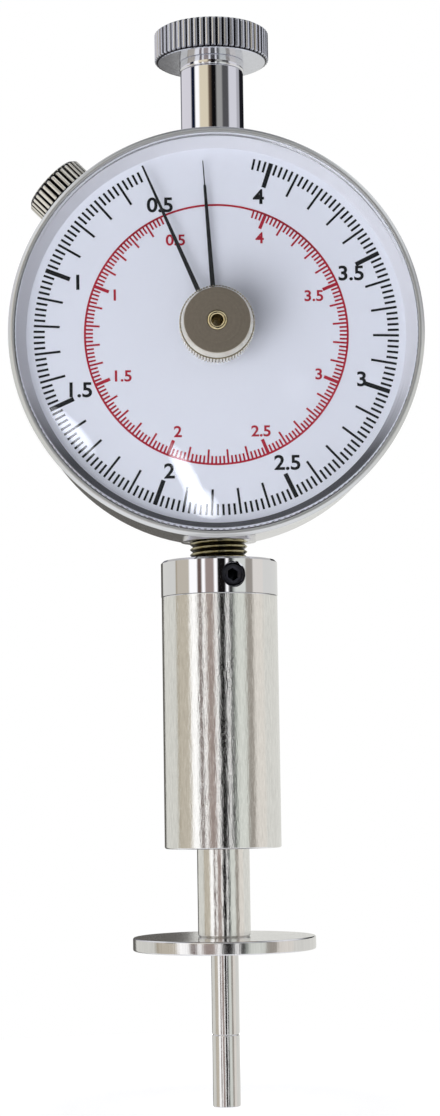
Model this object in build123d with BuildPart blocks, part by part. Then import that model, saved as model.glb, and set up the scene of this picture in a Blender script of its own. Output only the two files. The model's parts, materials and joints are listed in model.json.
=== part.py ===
"""Hand-held hardness tester: a spring-loaded press head on a dial gauge.

Frame: millimetres, +Z up along the plunger, dial facing -Y, origin at the centre of the
press head's end face. The gauge is built round two axes: the plunger's (Z) and the dial's
(parallel to Y, through dial_z).
"""

from build123d import *
from math import acos, atan2, cos, degrees, pi, radians, sin, sqrt, tan
import os

# ---------------------------------------------------------------- driving dimensions (mm)
# press head, splash disc and plunger
head_d = 3.5
head_length = 19.7
depth_mark_z = 9.0
depth_mark_width = 0.24
depth_mark_depth = 0.12
head_stud_d = 2.4
head_stud_length = 6.0
head_edge = 0.12
disc_d = 23.4
disc_thickness = 1.65
disc_edge = 0.18
rod_d = 6.74
rod_edge = 0.2
rod_exposed = 11.2
spindle_d = 4.0
spindle_short = 0.5
travel = 7.76

# barrel, collar and stem
barrel_d = 15.0
barrel_length = 32.35
barrel_wall = 1.3
barrel_top_wall = 7.4
barrel_mouth_edge = 0.4
bush_length = 5.05
bush_mouth_edge = 0.25
collar_overhang = 0.05
collar_height = 4.6
stem_d = 7.45
stem_reach = 6.7
stem_exposed = 2.77
stem_bush_length = 8.0
plain_edge = 0.3
bumper_thickness = 0.7
seat_thickness = 1.5
washer_thickness = 0.6
spring_wire = 0.7
spring_mean_d = 9.2
spring_turns = 5.5
set_screw_d = 2.9
set_screw_angle = 13.7
set_screw_recess = 0.25
set_screw_edge = 0.2
set_screw_seat_depth = 0.6
set_screw_seat_slope = 40.0
set_screw_hex = 1.5
set_screw_hex_depth = 1.5

# dial case, measured from the plunger's axis (front is -Y)
case_r = 25.6
case_wall = 1.6
case_front_y = -5.7
case_back_y = 8.4
case_back_chamfer = 1.7
back_flange = 1.4
back_flange_width = 4.8
back_cover_thickness = 1.4
back_cover_inset = 3.2
back_cover_edge = 0.4
back_screw_inset = 1.3
back_screw_count = 4
back_screw_d = 1.5
back_screw_head_d = 2.9
back_screw_length = 3.2
screw_sink = 0.05
slot_width = 0.35
boss_margin = 0.75
boss_height = 0.7
spigot_recess = 0.4
lug_width = 6.0
lug_reach = 4.4
lug_screw_inset = 1.9
lug_z_offset = -3.4
lug_front_gap = 0.55

# bezel, crystal and dial
bezel_overhang = 0.8
bezel_width = 2.65
bezel_front_y = -11.3
bezel_lip = 0.4
bezel_edge = 0.35
skirt_wall = 1.0
skirt_rear_y = -2.35
crystal_seat = 0.8
crystal_thickness = 1.0
crystal_rise = 2.0
crystal_shoulder_width = 0.75
crystal_shoulder_height = 1.05
dial_y = -8.0
dial_thickness = 0.5
dial_hole_r = 2.4
crystal_bush_r = 2.2
bush_flange = 0.3
friction_washer_thickness = 0.3
snap_ring_section = 0.3
snap_ring_depth = 0.6
snap_ring_behind_skirt_end = 0.55
snap_ring_gap_angle = 30.0

# reset knob and pointers
knob_face_y = -17.35
knob_face_r = 4.15
knob_rim_r = 4.74
knob_rim_rear_y = -13.08
knob_rim_height = 2.8
knob_teeth = 72
knob_tooth_depth = 0.16
rivet_r = 1.28
rivet_bore_r = 0.72
rivet_proud = 0.12
bush_flange_width = 0.5
peak_pointer_y = -9.7
peak_pointer_gap = 0.35
drive_pointer_y = -9.15
drive_pointer_gap = 1.45
pointer_thickness = 0.16
pointer_root_width = 0.72
pointer_tip_width = 0.24
pointer_needle_length = 3.2
pointer_eye_r = 1.9
peak_rest_angle = 23.05
drive_rest_angle = 3.7
hub_r = 1.25

# movement
rack_module = 0.4
rack_pinion_teeth = 16
rack_pinion_face = 1.8
rack_flat_x = 1.75
rack_below_pinion = 3.3
rack_above_pinion = 2.2
train_module = 0.3
train_gear_teeth = 50
centre_pinion_teeth = 20
train_face = 1.0
train_y = -3.6
pressure_angle = 20.0
backlash = 0.07
arbor_r = 0.6
centre_arbor_r = 0.5
plate_thickness = 0.8
front_plate_y = -5.8
middle_plate_y = -2.2
bridge_y = 2.6
plate_half_width = 17.0
plate_below_dial = 13.4
plate_above_dial = 6.8
plate_corner_r = 3.6
pillar_r = 1.4
pillar_x = 14.5
pillar_below_dial = 10.9
pillar_above_dial = 4.1
plate_screw_d = 1.4
plate_screw_head_d = 2.5
plate_screw_head_h = 0.5
bridge_screw_head_d = 2.8
bridge_screw_head_h = 1.0
bridge_screw_reach = 3.0
bridge_arm_half_width = 2.7
bridge_arm_gap = 0.7
bridge_arm_corner_r = 1.0
guide_pin_r = 0.55
guide_pin_depth = 0.5
guide_pin_proud = 1.0
guide_pin_below_dial = 4.9
hairspring_turns = 3.0
hairspring_steps = 12
hairspring_inner_r = 1.35
hairspring_outer_r = 5.0
hairspring_thickness = 0.12
hairspring_height = 0.5
stud_r = 0.5

# handle
handle_r = 4.15
handle_height = 10.43
handle_bore_r = 2.6
handle_spigot_r = 3.2
guide_bush_r = 3.0
guide_bush_length = 3.4
ferrule_r = 4.25
ferrule_height = 1.3
grip_r = 7.54
grip_height = 4.1
grip_teeth = 57
grip_tooth_depth = 0.28
grip_chamfer = 0.3
grip_stud_length = 2.5
ferrule_edge = 0.15

# clamp screw of the bezel
clamp_angle = 135.0
clamp_y = -3.65
clamp_head_r = 4.3
clamp_head_height = 3.0
clamp_head_gap = 0.45
clamp_teeth = 32
clamp_tooth_depth = 0.22
clamp_chamfer = 0.5
clamp_shank_r = 1.25
clamp_boss_r = 2.0
clamp_pad_thickness = 0.6

# clearances
running = 0.04
free = 0.1
seat_gap = 0.1
screw_clearance = 0.05
cut_margin = 2.0

# ---------------------------------------------------------------- derived heights along Z
disc_bottom = head_length
rod_bottom = disc_bottom + disc_thickness
barrel_bottom = rod_bottom + rod_exposed
barrel_top = barrel_bottom + barrel_length
barrel_bore_r = barrel_d / 2 - barrel_wall
collar_d = barrel_d + 2 * collar_overhang
barrel_shoulder = barrel_top - barrel_top_wall
bush_top = barrel_bottom + bush_length
bumper_top = bush_top + bumper_thickness
seat_bottom = bumper_top + seat_gap
seat_top = seat_bottom + seat_thickness
spring_top = barrel_shoulder - washer_thickness
seat_r = barrel_bore_r - 3 * free
collar_top = barrel_top + collar_height
stem_r = stem_d / 2
stem_bottom = barrel_top - stem_reach
case_bottom = collar_top + stem_exposed
dial_z = case_bottom + case_r
case_bore_r = case_r - case_wall
stem_top = dial_z - case_bore_r - spigot_recess
handle_bottom = dial_z + case_r + boss_height
spigot_bottom = dial_z + case_bore_r + spigot_recess
handle_top = handle_bottom + handle_height
grip_bottom = handle_top + ferrule_height
grip_top = grip_bottom + grip_height
guide_bush_top = spigot_bottom + guide_bush_length
spindle_top = guide_bush_top - spindle_short
spindle_r = spindle_d / 2

# ---------------------------------------------------------------- derived radii round the dial
bezel_r = case_r + bezel_overhang
bezel_opening_r = bezel_r - bezel_width
crystal_r = bezel_opening_r + crystal_seat
peak_pointer_reach = bezel_opening_r - peak_pointer_gap
drive_pointer_reach = bezel_opening_r - drive_pointer_gap
back_cover_r = case_r - back_cover_inset
back_screw_r = back_cover_r - back_screw_inset
flange_inner_r = case_bore_r - back_flange_width
boss_r = handle_r + boss_margin
lug_inner_x = case_bore_r - lug_reach
lug_screw_x = lug_inner_x + lug_screw_inset

# ---------------------------------------------------------------- derived gear geometry
rack_pinion_r = rack_module * rack_pinion_teeth / 2
train_gear_r = train_module * train_gear_teeth / 2
centre_pinion_r = train_module * centre_pinion_teeth / 2
rack_pitch_x = rack_flat_x - rack_module
idler_x = rack_pitch_x + rack_pinion_r
centre_distance = train_gear_r + centre_pinion_r
idler_z = dial_z - sqrt(centre_distance**2 - idler_x**2)
mesh_angle = degrees(atan2(dial_z - idler_z, -idler_x))
guide_pin_z = dial_z - guide_pin_below_dial


# ---------------------------------------------------------------- planes, axes and outlines
def dial_plane(y):
    """Plane parallel to the dial: local x is +X, local y is +Z, extruding towards the viewer."""
    return Plane(origin=(0, y, dial_z), x_dir=(1, 0, 0), z_dir=(0, -1, 0))


dial_axis = Axis((0, 0, dial_z), (0, 1, 0))
dial_section = Plane(origin=(0, 0, dial_z), x_dir=(1, 0, 0), z_dir=(0, 0, 1))
clamp_direction = (cos(radians(clamp_angle)), 0, sin(radians(clamp_angle)))
clamp_axis = Axis((0, clamp_y, dial_z), clamp_direction)
clamp_section = Plane(origin=(0, clamp_y, dial_z), x_dir=(0, 1, 0),
                      z_dir=(clamp_direction[2], 0, -clamp_direction[0]))


def clamp_plane(radius):
    """Plane across the clamp screw's axis, at a radius from the dial's axis."""
    x, _, z = clamp_direction
    return Plane(origin=(radius * x, clamp_y, dial_z + radius * z), x_dir=(0, 1, 0), z_dir=clamp_direction)


def set_screw_plane(radius):
    """Plane across the set screw's axis, at a radius from the plunger's axis."""
    turn = radians(set_screw_angle)
    out = (sin(turn), -cos(turn), 0)
    height = (barrel_top + collar_top) / 2
    return Plane(origin=(radius * out[0], radius * out[1], height), x_dir=(0, 0, 1), z_dir=out)


def outline(points, mode=Mode.ADD):
    """A closed face through points, in the current sketch."""
    Polygon(*points, mode=mode)


def ring(outer, inner):
    """A washer-shaped face in the current sketch."""
    Circle(outer)
    Circle(inner, mode=Mode.SUBTRACT)


def polar(radius, angle):
    return (radius * cos(radians(angle)), radius * sin(radians(angle)))


def knurl_outline(teeth, outer, depth, crest=0.42):
    """Straight knurling: flat crests and V grooves round a circle."""
    step = 360 / teeth
    points = []
    for tooth in range(teeth):
        middle = tooth * step
        points.append(polar(outer, middle - crest * step / 2))
        points.append(polar(outer, middle + crest * step / 2))
        points.append(polar(outer - depth, middle + step / 2))
    outline(points)


def involute(angle):
    return tan(angle) - angle


def gear_outline(teeth, module, turn=0.0):
    """An involute spur gear's outline, with a tooth centred on the angle turn."""
    pitch_r = module * teeth / 2
    base_r = pitch_r * cos(radians(pressure_angle))
    tip_r = pitch_r + module
    root_r = pitch_r - 1.25 * module
    half_pitch_tooth = pi / (2 * teeth) - backlash / (2 * pitch_r) + involute(radians(pressure_angle))
    flank = []
    for radius in (max(base_r, root_r), pitch_r, tip_r):
        half_angle = half_pitch_tooth - involute(acos(min(1.0, base_r / radius)))
        flank.append((radius, degrees(half_angle)))
    if root_r < base_r:
        flank.insert(0, (root_r, flank[0][1]))
    points = []
    for tooth in range(teeth):
        middle = turn + tooth * 360 / teeth
        points += [polar(radius, middle - half) for radius, half in flank]
        points += [polar(radius, middle + half) for radius, half in reversed(flank)]
    outline(points)


def pointer_outline(angle, reach, needle):
    """A tapered hand from the dial's centre, with a finer needle at its end if needle is given."""
    along = (-sin(radians(angle)), cos(radians(angle)))
    across = (along[1], -along[0])
    stations = [(0, pointer_root_width), (reach, pointer_tip_width)]
    if needle:
        stations[1] = (reach - needle, pointer_tip_width * 1.5)
        stations += [(reach - needle, pointer_tip_width * 0.7), (reach, pointer_tip_width * 0.5)]
    right = [(r * along[0] + w / 2 * across[0], r * along[1] + w / 2 * across[1]) for r, w in stations]
    left = [(r * along[0] - w / 2 * across[0], r * along[1] - w / 2 * across[1]) for r, w in stations]
    outline(right + left[::-1])


os.makedirs("parts", exist_ok=True)


def save(builder, name):
    """Label a finished piece and write its file."""
    builder.part.label = name
    export_step(builder.part, f"parts/{name}.step")


# ================================================================ plunger
with BuildPart() as press_head:
    with BuildSketch(Plane.XZ):
        stud_top = head_length + head_stud_length
        groove_low = depth_mark_z - depth_mark_width / 2
        groove_high = depth_mark_z + depth_mark_width / 2
        groove_r = head_d / 2 - depth_mark_depth
        outline([
            (0, 0), (head_d / 2 - head_edge, 0), (head_d / 2, head_edge), (head_d / 2, groove_low),
            (groove_r, depth_mark_z), (head_d / 2, groove_high),
            (head_d / 2, head_length), (head_stud_d / 2, head_length),
            (head_stud_d / 2, stud_top), (0, stud_top),
        ])
    revolve(axis=Axis.Z)
save(press_head, "press_head")

with BuildPart() as stop_disc:
    with BuildSketch(Plane.XY.offset(disc_bottom)):
        ring(disc_d / 2, head_stud_d / 2 + screw_clearance)
    extrude(amount=disc_thickness)
    chamfer(stop_disc.edges().filter_by(GeomType.CIRCLE).group_by(SortBy.RADIUS)[-1], disc_edge)
save(stop_disc, "stop_disc")

rack_low = idler_z - travel - rack_below_pinion
rack_tooth_pitch = pi * rack_module
rack_space_low = idler_z - rack_tooth_pitch * int((idler_z - rack_low) / rack_tooth_pitch)
rack_spaces = int((idler_z + rack_above_pinion - rack_space_low) / rack_tooth_pitch) + 1
rack_root_x = rack_pitch_x - 1.25 * rack_module

with BuildPart() as plunger_rod:
    with BuildSketch(Plane.XZ):
        stud_end = rod_bottom + head_stud_length - disc_thickness + seat_gap
        outline([
            (head_stud_d / 2 + screw_clearance, rod_bottom), (rod_d / 2 - rod_edge, rod_bottom),
            (rod_d / 2, rod_bottom + rod_edge), (rod_d / 2, seat_bottom), (spindle_r, seat_bottom),
            (spindle_r, spindle_top - plain_edge), (spindle_r - plain_edge, spindle_top), (0, spindle_top),
            (0, stud_end), (head_stud_d / 2 + screw_clearance, stud_end),
        ])
    revolve(axis=Axis.Z)
    # flat for the rack, then one V space for each tooth of the meshing pinion
    with BuildSketch(Plane.XZ):
        rack_high = rack_space_low + rack_spaces * rack_tooth_pitch
        with Locations((rack_flat_x, rack_low)):
            Rectangle(spindle_d, rack_high - rack_low, align=(Align.MIN, Align.MIN))
    extrude(amount=spindle_d, both=True, mode=Mode.SUBTRACT)
    with BuildSketch(Plane.XZ):
        flank = tan(radians(pressure_angle))
        half_space = rack_tooth_pitch / 4 + backlash / 2
        half_root = half_space - 1.25 * rack_module * flank
        half_mouth = half_space + (rack_flat_x - rack_pitch_x + free) * flank
        for space in range(rack_spaces):
            middle = rack_space_low + space * rack_tooth_pitch
            outline([
                (rack_root_x, middle - half_root), (rack_flat_x + free, middle - half_mouth),
                (rack_flat_x + free, middle + half_mouth), (rack_root_x, middle + half_root),
            ])
    extrude(amount=spindle_d, both=True, mode=Mode.SUBTRACT)
    with BuildSketch(Plane.XZ.offset(-spindle_d)):
        with Locations((0, guide_pin_z)):
            Circle(guide_pin_r)
    extrude(amount=spindle_d - guide_pin_depth, mode=Mode.SUBTRACT)
save(plunger_rod, "plunger_rod")

with BuildPart() as spring_seat:
    with BuildSketch(Plane.XY.offset(seat_bottom)):
        ring(seat_r, spindle_r + running)
    extrude(amount=seat_thickness)
save(spring_seat, "spring_seat")

with BuildPart() as guide_pin:
    with BuildSketch(Plane.XZ.offset(-bridge_y - plate_thickness - guide_pin_proud)):
        with Locations((0, guide_pin_z)):
            Circle(guide_pin_r)
    extrude(amount=bridge_y + plate_thickness + guide_pin_proud - guide_pin_depth)
save(guide_pin, "guide_pin")

# ================================================================ barrel, collar and stem
with BuildPart() as barrel:
    with BuildSketch(Plane.XZ):
        outline([
            (barrel_bore_r, barrel_bottom), (barrel_d / 2, barrel_bottom), (barrel_d / 2, barrel_top),
            (stem_r + screw_clearance, barrel_top), (stem_r + screw_clearance, barrel_shoulder),
            (barrel_bore_r, barrel_shoulder),
        ])
    revolve(axis=Axis.Z)
    outer_edges = barrel.edges().filter_by(GeomType.CIRCLE).group_by(SortBy.RADIUS)[-1]
    chamfer(outer_edges.sort_by(Axis.Z)[0], barrel_mouth_edge)
    chamfer(outer_edges.sort_by(Axis.Z)[-1], head_edge)
save(barrel, "barrel")

with BuildPart() as lower_bush:
    with BuildSketch(Plane.XY.offset(barrel_bottom)):
        ring(barrel_bore_r, rod_d / 2 + running)
    extrude(amount=bush_length)
    mouth = lower_bush.edges().filter_by(GeomType.CIRCLE).group_by(SortBy.RADIUS)[0]
    chamfer(mouth.sort_by(Axis.Z)[0], bush_mouth_edge)
save(lower_bush, "lower_bush")

with BuildPart() as bumper_washer:
    with BuildSketch(Plane.XY.offset(bush_top)):
        ring(seat_r, rod_d / 2 + free)
    extrude(amount=bumper_thickness)
save(bumper_washer, "bumper_washer")

with BuildPart() as spring_washer:
    with BuildSketch(Plane.XY.offset(spring_top)):
        ring(seat_r, spindle_r + 2 * free)
    extrude(amount=washer_thickness)
save(spring_washer, "spring_washer")

with BuildPart() as force_spring:
    wire_low = seat_top + seat_gap + spring_wire / 2
    wire_high = spring_top - seat_gap - spring_wire / 2
    with BuildLine():
        coil = Helix(pitch=(wire_high - wire_low) / spring_turns, height=wire_high - wire_low,
                     radius=spring_mean_d / 2, center=(0, 0, wire_low))
    with BuildSketch(Plane(origin=coil @ 0, x_dir=(1, 0, 0), z_dir=coil % 0)):
        Rectangle(spring_wire, spring_wire)
    sweep(path=coil, is_frenet=True)
save(force_spring, "force_spring")

with BuildPart() as threaded_stem:
    with BuildSketch(Plane.XZ):
        bush_seat = stem_top - stem_bush_length
        outline([
            (spindle_r + 3 * free, stem_bottom), (stem_r - plain_edge, stem_bottom),
            (stem_r, stem_bottom + plain_edge),
            (stem_r, stem_top), (guide_bush_r, stem_top), (guide_bush_r, bush_seat),
            (spindle_r + 3 * free, bush_seat),
        ])
    revolve(axis=Axis.Z)
save(threaded_stem, "threaded_stem")

with BuildPart() as stem_bush:
    with BuildSketch(Plane.XY.offset(bush_seat)):
        ring(guide_bush_r, spindle_r + running)
    extrude(amount=stem_top - bush_seat)
save(stem_bush, "stem_bush")

with BuildPart() as lock_collar:
    with BuildSketch(Plane.XY.offset(barrel_top)):
        ring(collar_d / 2, stem_r + screw_clearance)
    extrude(amount=collar_height)
    rims = lock_collar.edges().filter_by(GeomType.CIRCLE).group_by(SortBy.RADIUS)[-1]
    chamfer(rims.sort_by(Axis.Z)[-1], plain_edge)
    with BuildSketch(set_screw_plane(stem_r - free)):
        Circle(set_screw_d / 2 + screw_clearance / 2)
    extrude(amount=collar_d / 2 - stem_r + cut_margin, mode=Mode.SUBTRACT)
    with BuildSketch(set_screw_plane(collar_d / 2 - set_screw_recess)):
        Circle(set_screw_d / 2 + screw_clearance / 2)
    extrude(amount=set_screw_seat_depth, taper=-set_screw_seat_slope, mode=Mode.SUBTRACT)
save(lock_collar, "lock_collar")

with BuildPart() as set_screw:
    screw_face = collar_d / 2 - set_screw_recess
    screw_tip = stem_r + screw_clearance
    with BuildSketch(set_screw_plane(screw_tip)):
        Circle(set_screw_d / 2)
    extrude(amount=screw_face - screw_tip)
    chamfer(set_screw.edges().filter_by(GeomType.CIRCLE), set_screw_edge)
    with BuildSketch(set_screw_plane(screw_face - set_screw_hex_depth)):
        RegularPolygon(set_screw_hex / 2, 6, major_radius=False)
    extrude(amount=set_screw_hex_depth, mode=Mode.SUBTRACT)
save(set_screw, "set_screw")

# ================================================================ case and back cover
lug_spots = [(side * lug_screw_x, lug_z_offset) for side in (-1, 1)]

with BuildPart() as case_body:
    with BuildSketch(dial_section):
        flange_y = case_back_y - back_flange
        outline([
            (case_bore_r, case_front_y), (case_r, case_front_y), (case_r, case_back_y),
            (flange_inner_r, case_back_y), (flange_inner_r, flange_y), (case_bore_r, flange_y),
        ])
    revolve(axis=dial_axis)
    rear_edge = case_body.edges().filter_by(GeomType.CIRCLE).group_by(SortBy.RADIUS)[-1].sort_by(Axis.Y)[-1]
    chamfer(rear_edge, case_back_chamfer)
    # flat bosses for the stem and the handle
    for start, direction in ((dial_z - case_r - boss_height / 3, 1), (handle_bottom, -1)):
        with BuildSketch(Plane(origin=(0, 0, start), x_dir=(1, 0, 0), z_dir=(0, 0, direction))):
            Circle(boss_r)
        extrude(amount=boss_height + case_wall / 2)
    # boss round the clamp screw
    with BuildSketch(clamp_plane(case_bore_r + case_wall / 2)):
        Circle(clamp_boss_r)
    extrude(amount=bezel_r - case_bore_r - case_wall / 2)
    # lugs that carry the movement
    lug_depth = case_bore_r + case_wall / 2 - lug_inner_x
    with BuildSketch(dial_plane(bridge_y)):
        for side in (-1, 1):
            with Locations((side * (lug_inner_x + lug_depth / 2), lug_z_offset)):
                Rectangle(lug_depth, lug_width)
    extrude(amount=bridge_y - skirt_rear_y - lug_front_gap)
    # bores for the stem, the handle's spigot and the clamp screw
    with BuildSketch(Plane.XY.offset(dial_z - case_r - cut_margin)):
        Circle(stem_r + screw_clearance)
    extrude(amount=case_wall + 2 * cut_margin, mode=Mode.SUBTRACT)
    with BuildSketch(Plane.XY.offset(dial_z + case_bore_r - cut_margin)):
        Circle(handle_spigot_r + screw_clearance)
    extrude(amount=case_wall + boss_height + 2 * cut_margin, mode=Mode.SUBTRACT)
    with BuildSketch(clamp_plane(case_bore_r - cut_margin)):
        Circle(clamp_shank_r + screw_clearance)
    extrude(amount=bezel_r - case_bore_r + 2 * cut_margin, mode=Mode.SUBTRACT)
    # groove for the snap ring that keeps the bezel in
    snap_ring_y = skirt_rear_y - snap_ring_behind_skirt_end
    with BuildSketch(dial_section):
        with Locations((case_bore_r, snap_ring_y)):
            Rectangle(2 * (snap_ring_depth / 2 + screw_clearance), snap_ring_section + free)
    revolve(axis=dial_axis, mode=Mode.SUBTRACT)
    # tapped holes in the lugs and in the rear flange
    with BuildSketch(dial_plane(bridge_y)):
        with Locations(*lug_spots):
            Circle(plate_screw_d / 2 + screw_clearance)
    extrude(amount=bridge_screw_reach + 4 * free, mode=Mode.SUBTRACT)
    with BuildSketch(dial_plane(case_back_y)):
        with PolarLocations(back_screw_r, back_screw_count, start_angle=45):
            Circle(back_screw_d / 2 + screw_clearance)
    extrude(amount=back_flange, mode=Mode.SUBTRACT)
save(case_body, "case_body")

with BuildPart() as back_cover:
    with BuildSketch(dial_plane(case_back_y + back_cover_thickness)):
        Circle(back_cover_r)
    extrude(amount=back_cover_thickness)
    chamfer(back_cover.edges().sort_by(Axis.Y)[-1], back_cover_edge)
    with BuildSketch(dial_plane(case_back_y + back_cover_thickness)):
        with PolarLocations(back_screw_r, back_screw_count, start_angle=45):
            Circle(back_screw_head_d / 2 + screw_clearance)
    extrude(amount=(back_screw_head_d - back_screw_d) / 2, taper=45, mode=Mode.SUBTRACT)
    with BuildSketch(dial_plane(case_back_y + back_cover_thickness)):
        with PolarLocations(back_screw_r, back_screw_count, start_angle=45):
            Circle(back_screw_d / 2 + screw_clearance)
    extrude(amount=back_cover_thickness, mode=Mode.SUBTRACT)
save(back_cover, "back_cover")

with BuildPart() as back_cover_screws:
    head_y = case_back_y + back_cover_thickness - screw_sink
    screw_spots = PolarLocations(back_screw_r, back_screw_count, start_angle=45)
    with BuildSketch(dial_plane(head_y)):
        with screw_spots:
            Circle(back_screw_head_d / 2)
    extrude(amount=(back_screw_head_d - back_screw_d) / 2, taper=45)
    with BuildSketch(dial_plane(head_y)):
        with screw_spots:
            Circle(back_screw_d / 2)
    extrude(amount=back_screw_length)
    with BuildSketch(dial_plane(head_y)):
        with screw_spots:
            Rectangle(2 * back_screw_head_d, slot_width)
    extrude(amount=slot_width, mode=Mode.SUBTRACT)
save(back_cover_screws, "back_cover_screws")

with BuildPart() as snap_ring:
    with BuildSketch(dial_plane(snap_ring_y + snap_ring_section / 2)):
        ring(case_bore_r + snap_ring_depth / 2, case_bore_r - snap_ring_depth / 2)
        gap_ends = [clamp_angle + side * snap_ring_gap_angle / 2 for side in (-1, 1)]
        outline([(0, 0)] + [polar(1.2 * case_r, angle) for angle in gap_ends], mode=Mode.SUBTRACT)
    extrude(amount=snap_ring_section)
save(snap_ring, "snap_ring")

# ================================================================ handle
with BuildPart() as handle_sleeve:
    with BuildSketch(Plane.XZ):
        outline([
            (guide_bush_r, spigot_bottom), (handle_spigot_r, spigot_bottom), (handle_spigot_r, handle_bottom),
            (handle_r, handle_bottom), (handle_r, handle_top), (handle_bore_r, handle_top),
            (handle_bore_r, guide_bush_top), (guide_bush_r, guide_bush_top),
        ])
    revolve(axis=Axis.Z)
save(handle_sleeve, "handle_sleeve")

with BuildPart() as upper_bush:
    with BuildSketch(Plane.XY.offset(spigot_bottom)):
        ring(guide_bush_r, spindle_r + running)
    extrude(amount=guide_bush_length)
save(upper_bush, "upper_bush")

with BuildPart() as handle_ferrule:
    with BuildSketch(Plane.XY.offset(handle_top)):
        ring(ferrule_r, handle_bore_r)
    extrude(amount=ferrule_height)
    chamfer(handle_ferrule.edges().group_by(Axis.Z)[0].sort_by(SortBy.RADIUS)[-1], ferrule_edge)
save(handle_ferrule, "handle_ferrule")

with BuildPart() as handle_knob:
    # the knurled band, then plain chamfered ends inside the knurl's roots
    with BuildSketch(Plane.XY.offset(grip_bottom + grip_chamfer)):
        knurl_outline(grip_teeth, grip_r, grip_tooth_depth)
    extrude(amount=grip_height - 2 * grip_chamfer)
    with BuildSketch(Plane.XZ):
        grip_root_r = grip_r - grip_tooth_depth - running
        stud_bottom = grip_bottom - grip_stud_length
        outline([
            (0, stud_bottom), (handle_bore_r - running / 2, stud_bottom),
            (handle_bore_r - running / 2, grip_bottom), (grip_root_r - grip_chamfer, grip_bottom),
            (grip_root_r, grip_bottom + grip_chamfer), (grip_root_r, grip_top - grip_chamfer),
            (grip_root_r - grip_chamfer, grip_top), (0, grip_top),
        ])
    revolve(axis=Axis.Z)
save(handle_knob, "handle_knob")

# ================================================================ movement
pillar_spots = [
    (side * pillar_x, height) for side in (-1, 1) for height in (-pillar_below_dial, pillar_above_dial)
]
idler_spot = (idler_x, idler_z - dial_z)
guide_slot_low = guide_pin_z - guide_pin_r - free
guide_slot_high = guide_pin_z + travel + guide_pin_r + free


def plate_outline():
    """The movement plates' common outline, with round corners and the pillar screws' holes."""
    height = plate_above_dial + plate_below_dial
    with Locations((0, (plate_above_dial - plate_below_dial) / 2)):
        RectangleRounded(2 * plate_half_width, height, plate_corner_r)


def holes(spots, radius):
    """Round holes at spots in the current sketch."""
    with Locations(*spots):
        Circle(radius, mode=Mode.SUBTRACT)


with BuildPart() as front_plate:
    with BuildSketch(dial_plane(front_plate_y)):
        plate_outline()
        holes(pillar_spots, plate_screw_d / 2 + screw_clearance)
        holes([(0, 0)], centre_arbor_r + running)
        holes([idler_spot], arbor_r + running)
    extrude(amount=plate_thickness)
save(front_plate, "front_plate")

with BuildPart() as middle_plate:
    with BuildSketch(dial_plane(middle_plate_y)):
        plate_outline()
        holes(pillar_spots, plate_screw_d / 2 + screw_clearance)
        holes([(0, 0)], centre_arbor_r + running)
        holes([idler_spot], arbor_r + 4 * free)
    extrude(amount=plate_thickness)
save(middle_plate, "middle_plate")

with BuildPart() as movement_bridge:
    with BuildSketch(dial_plane(bridge_y + plate_thickness)):
        plate_outline()
        with Locations((0, lug_z_offset)):
            arm_reach = case_bore_r - bridge_arm_gap
            RectangleRounded(2 * arm_reach, 2 * bridge_arm_half_width, bridge_arm_corner_r)
        holes(pillar_spots, plate_screw_d / 2 + screw_clearance)
        holes(lug_spots, plate_screw_d / 2 + screw_clearance)
        holes([idler_spot], arbor_r + running)
        slot_middle = (guide_slot_low + guide_slot_high) / 2 - dial_z
        with Locations((0, slot_middle)):
            RectangleRounded(2 * (guide_pin_r + running), guide_slot_high - guide_slot_low,
                             guide_pin_r, mode=Mode.SUBTRACT)
    extrude(amount=plate_thickness)
save(movement_bridge, "movement_bridge")

with BuildPart() as rear_pillars:
    with BuildSketch(dial_plane(bridge_y)):
        with Locations(*pillar_spots):
            Circle(pillar_r)
        holes(pillar_spots, plate_screw_d / 2 + screw_clearance)
    extrude(amount=bridge_y - middle_plate_y)
save(rear_pillars, "rear_pillars")

with BuildPart() as front_pillars:
    with BuildSketch(dial_plane(middle_plate_y - plate_thickness)):
        with Locations(*pillar_spots):
            Circle(pillar_r)
        holes(pillar_spots, plate_screw_d / 2 + screw_clearance)
    extrude(amount=middle_plate_y - plate_thickness - front_plate_y)
save(front_pillars, "front_pillars")

with BuildPart() as movement_screws:
    screw_head_y = front_plate_y - plate_thickness
    with BuildSketch(dial_plane(screw_head_y)):
        with Locations(*pillar_spots):
            Circle(plate_screw_head_d / 2)
    extrude(amount=plate_screw_head_h)
    with BuildSketch(dial_plane(bridge_y + plate_thickness)):
        with Locations(*pillar_spots):
            Circle(plate_screw_d / 2)
    extrude(amount=bridge_y + plate_thickness - screw_head_y)
save(movement_screws, "movement_screws")

with BuildPart() as bridge_screws:
    bridge_back = bridge_y + plate_thickness
    with BuildSketch(dial_plane(bridge_back + bridge_screw_head_h)):
        with Locations(*lug_spots):
            Circle(bridge_screw_head_d / 2)
    extrude(amount=bridge_screw_head_h)
    with BuildSketch(dial_plane(bridge_back)):
        with Locations(*lug_spots):
            Circle(plate_screw_d / 2)
    extrude(amount=plate_thickness + bridge_screw_reach)
save(bridge_screws, "bridge_screws")

# rack pinion and train gear on one arbor
with BuildPart() as idler_arbor:
    arbor_back = bridge_y + plate_thickness
    arbor_front = front_plate_y - plate_thickness
    with BuildSketch(dial_plane(arbor_back)):
        with Locations(idler_spot):
            Circle(arbor_r)
    extrude(amount=arbor_back - arbor_front)
save(idler_arbor, "idler_arbor")

with BuildPart() as rack_pinion:
    with BuildSketch(dial_plane(rack_pinion_face / 2)):
        with Locations(idler_spot):
            gear_outline(rack_pinion_teeth, rack_module, turn=180)
        holes([idler_spot], arbor_r)
    extrude(amount=rack_pinion_face)
save(rack_pinion, "rack_pinion")

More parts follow.
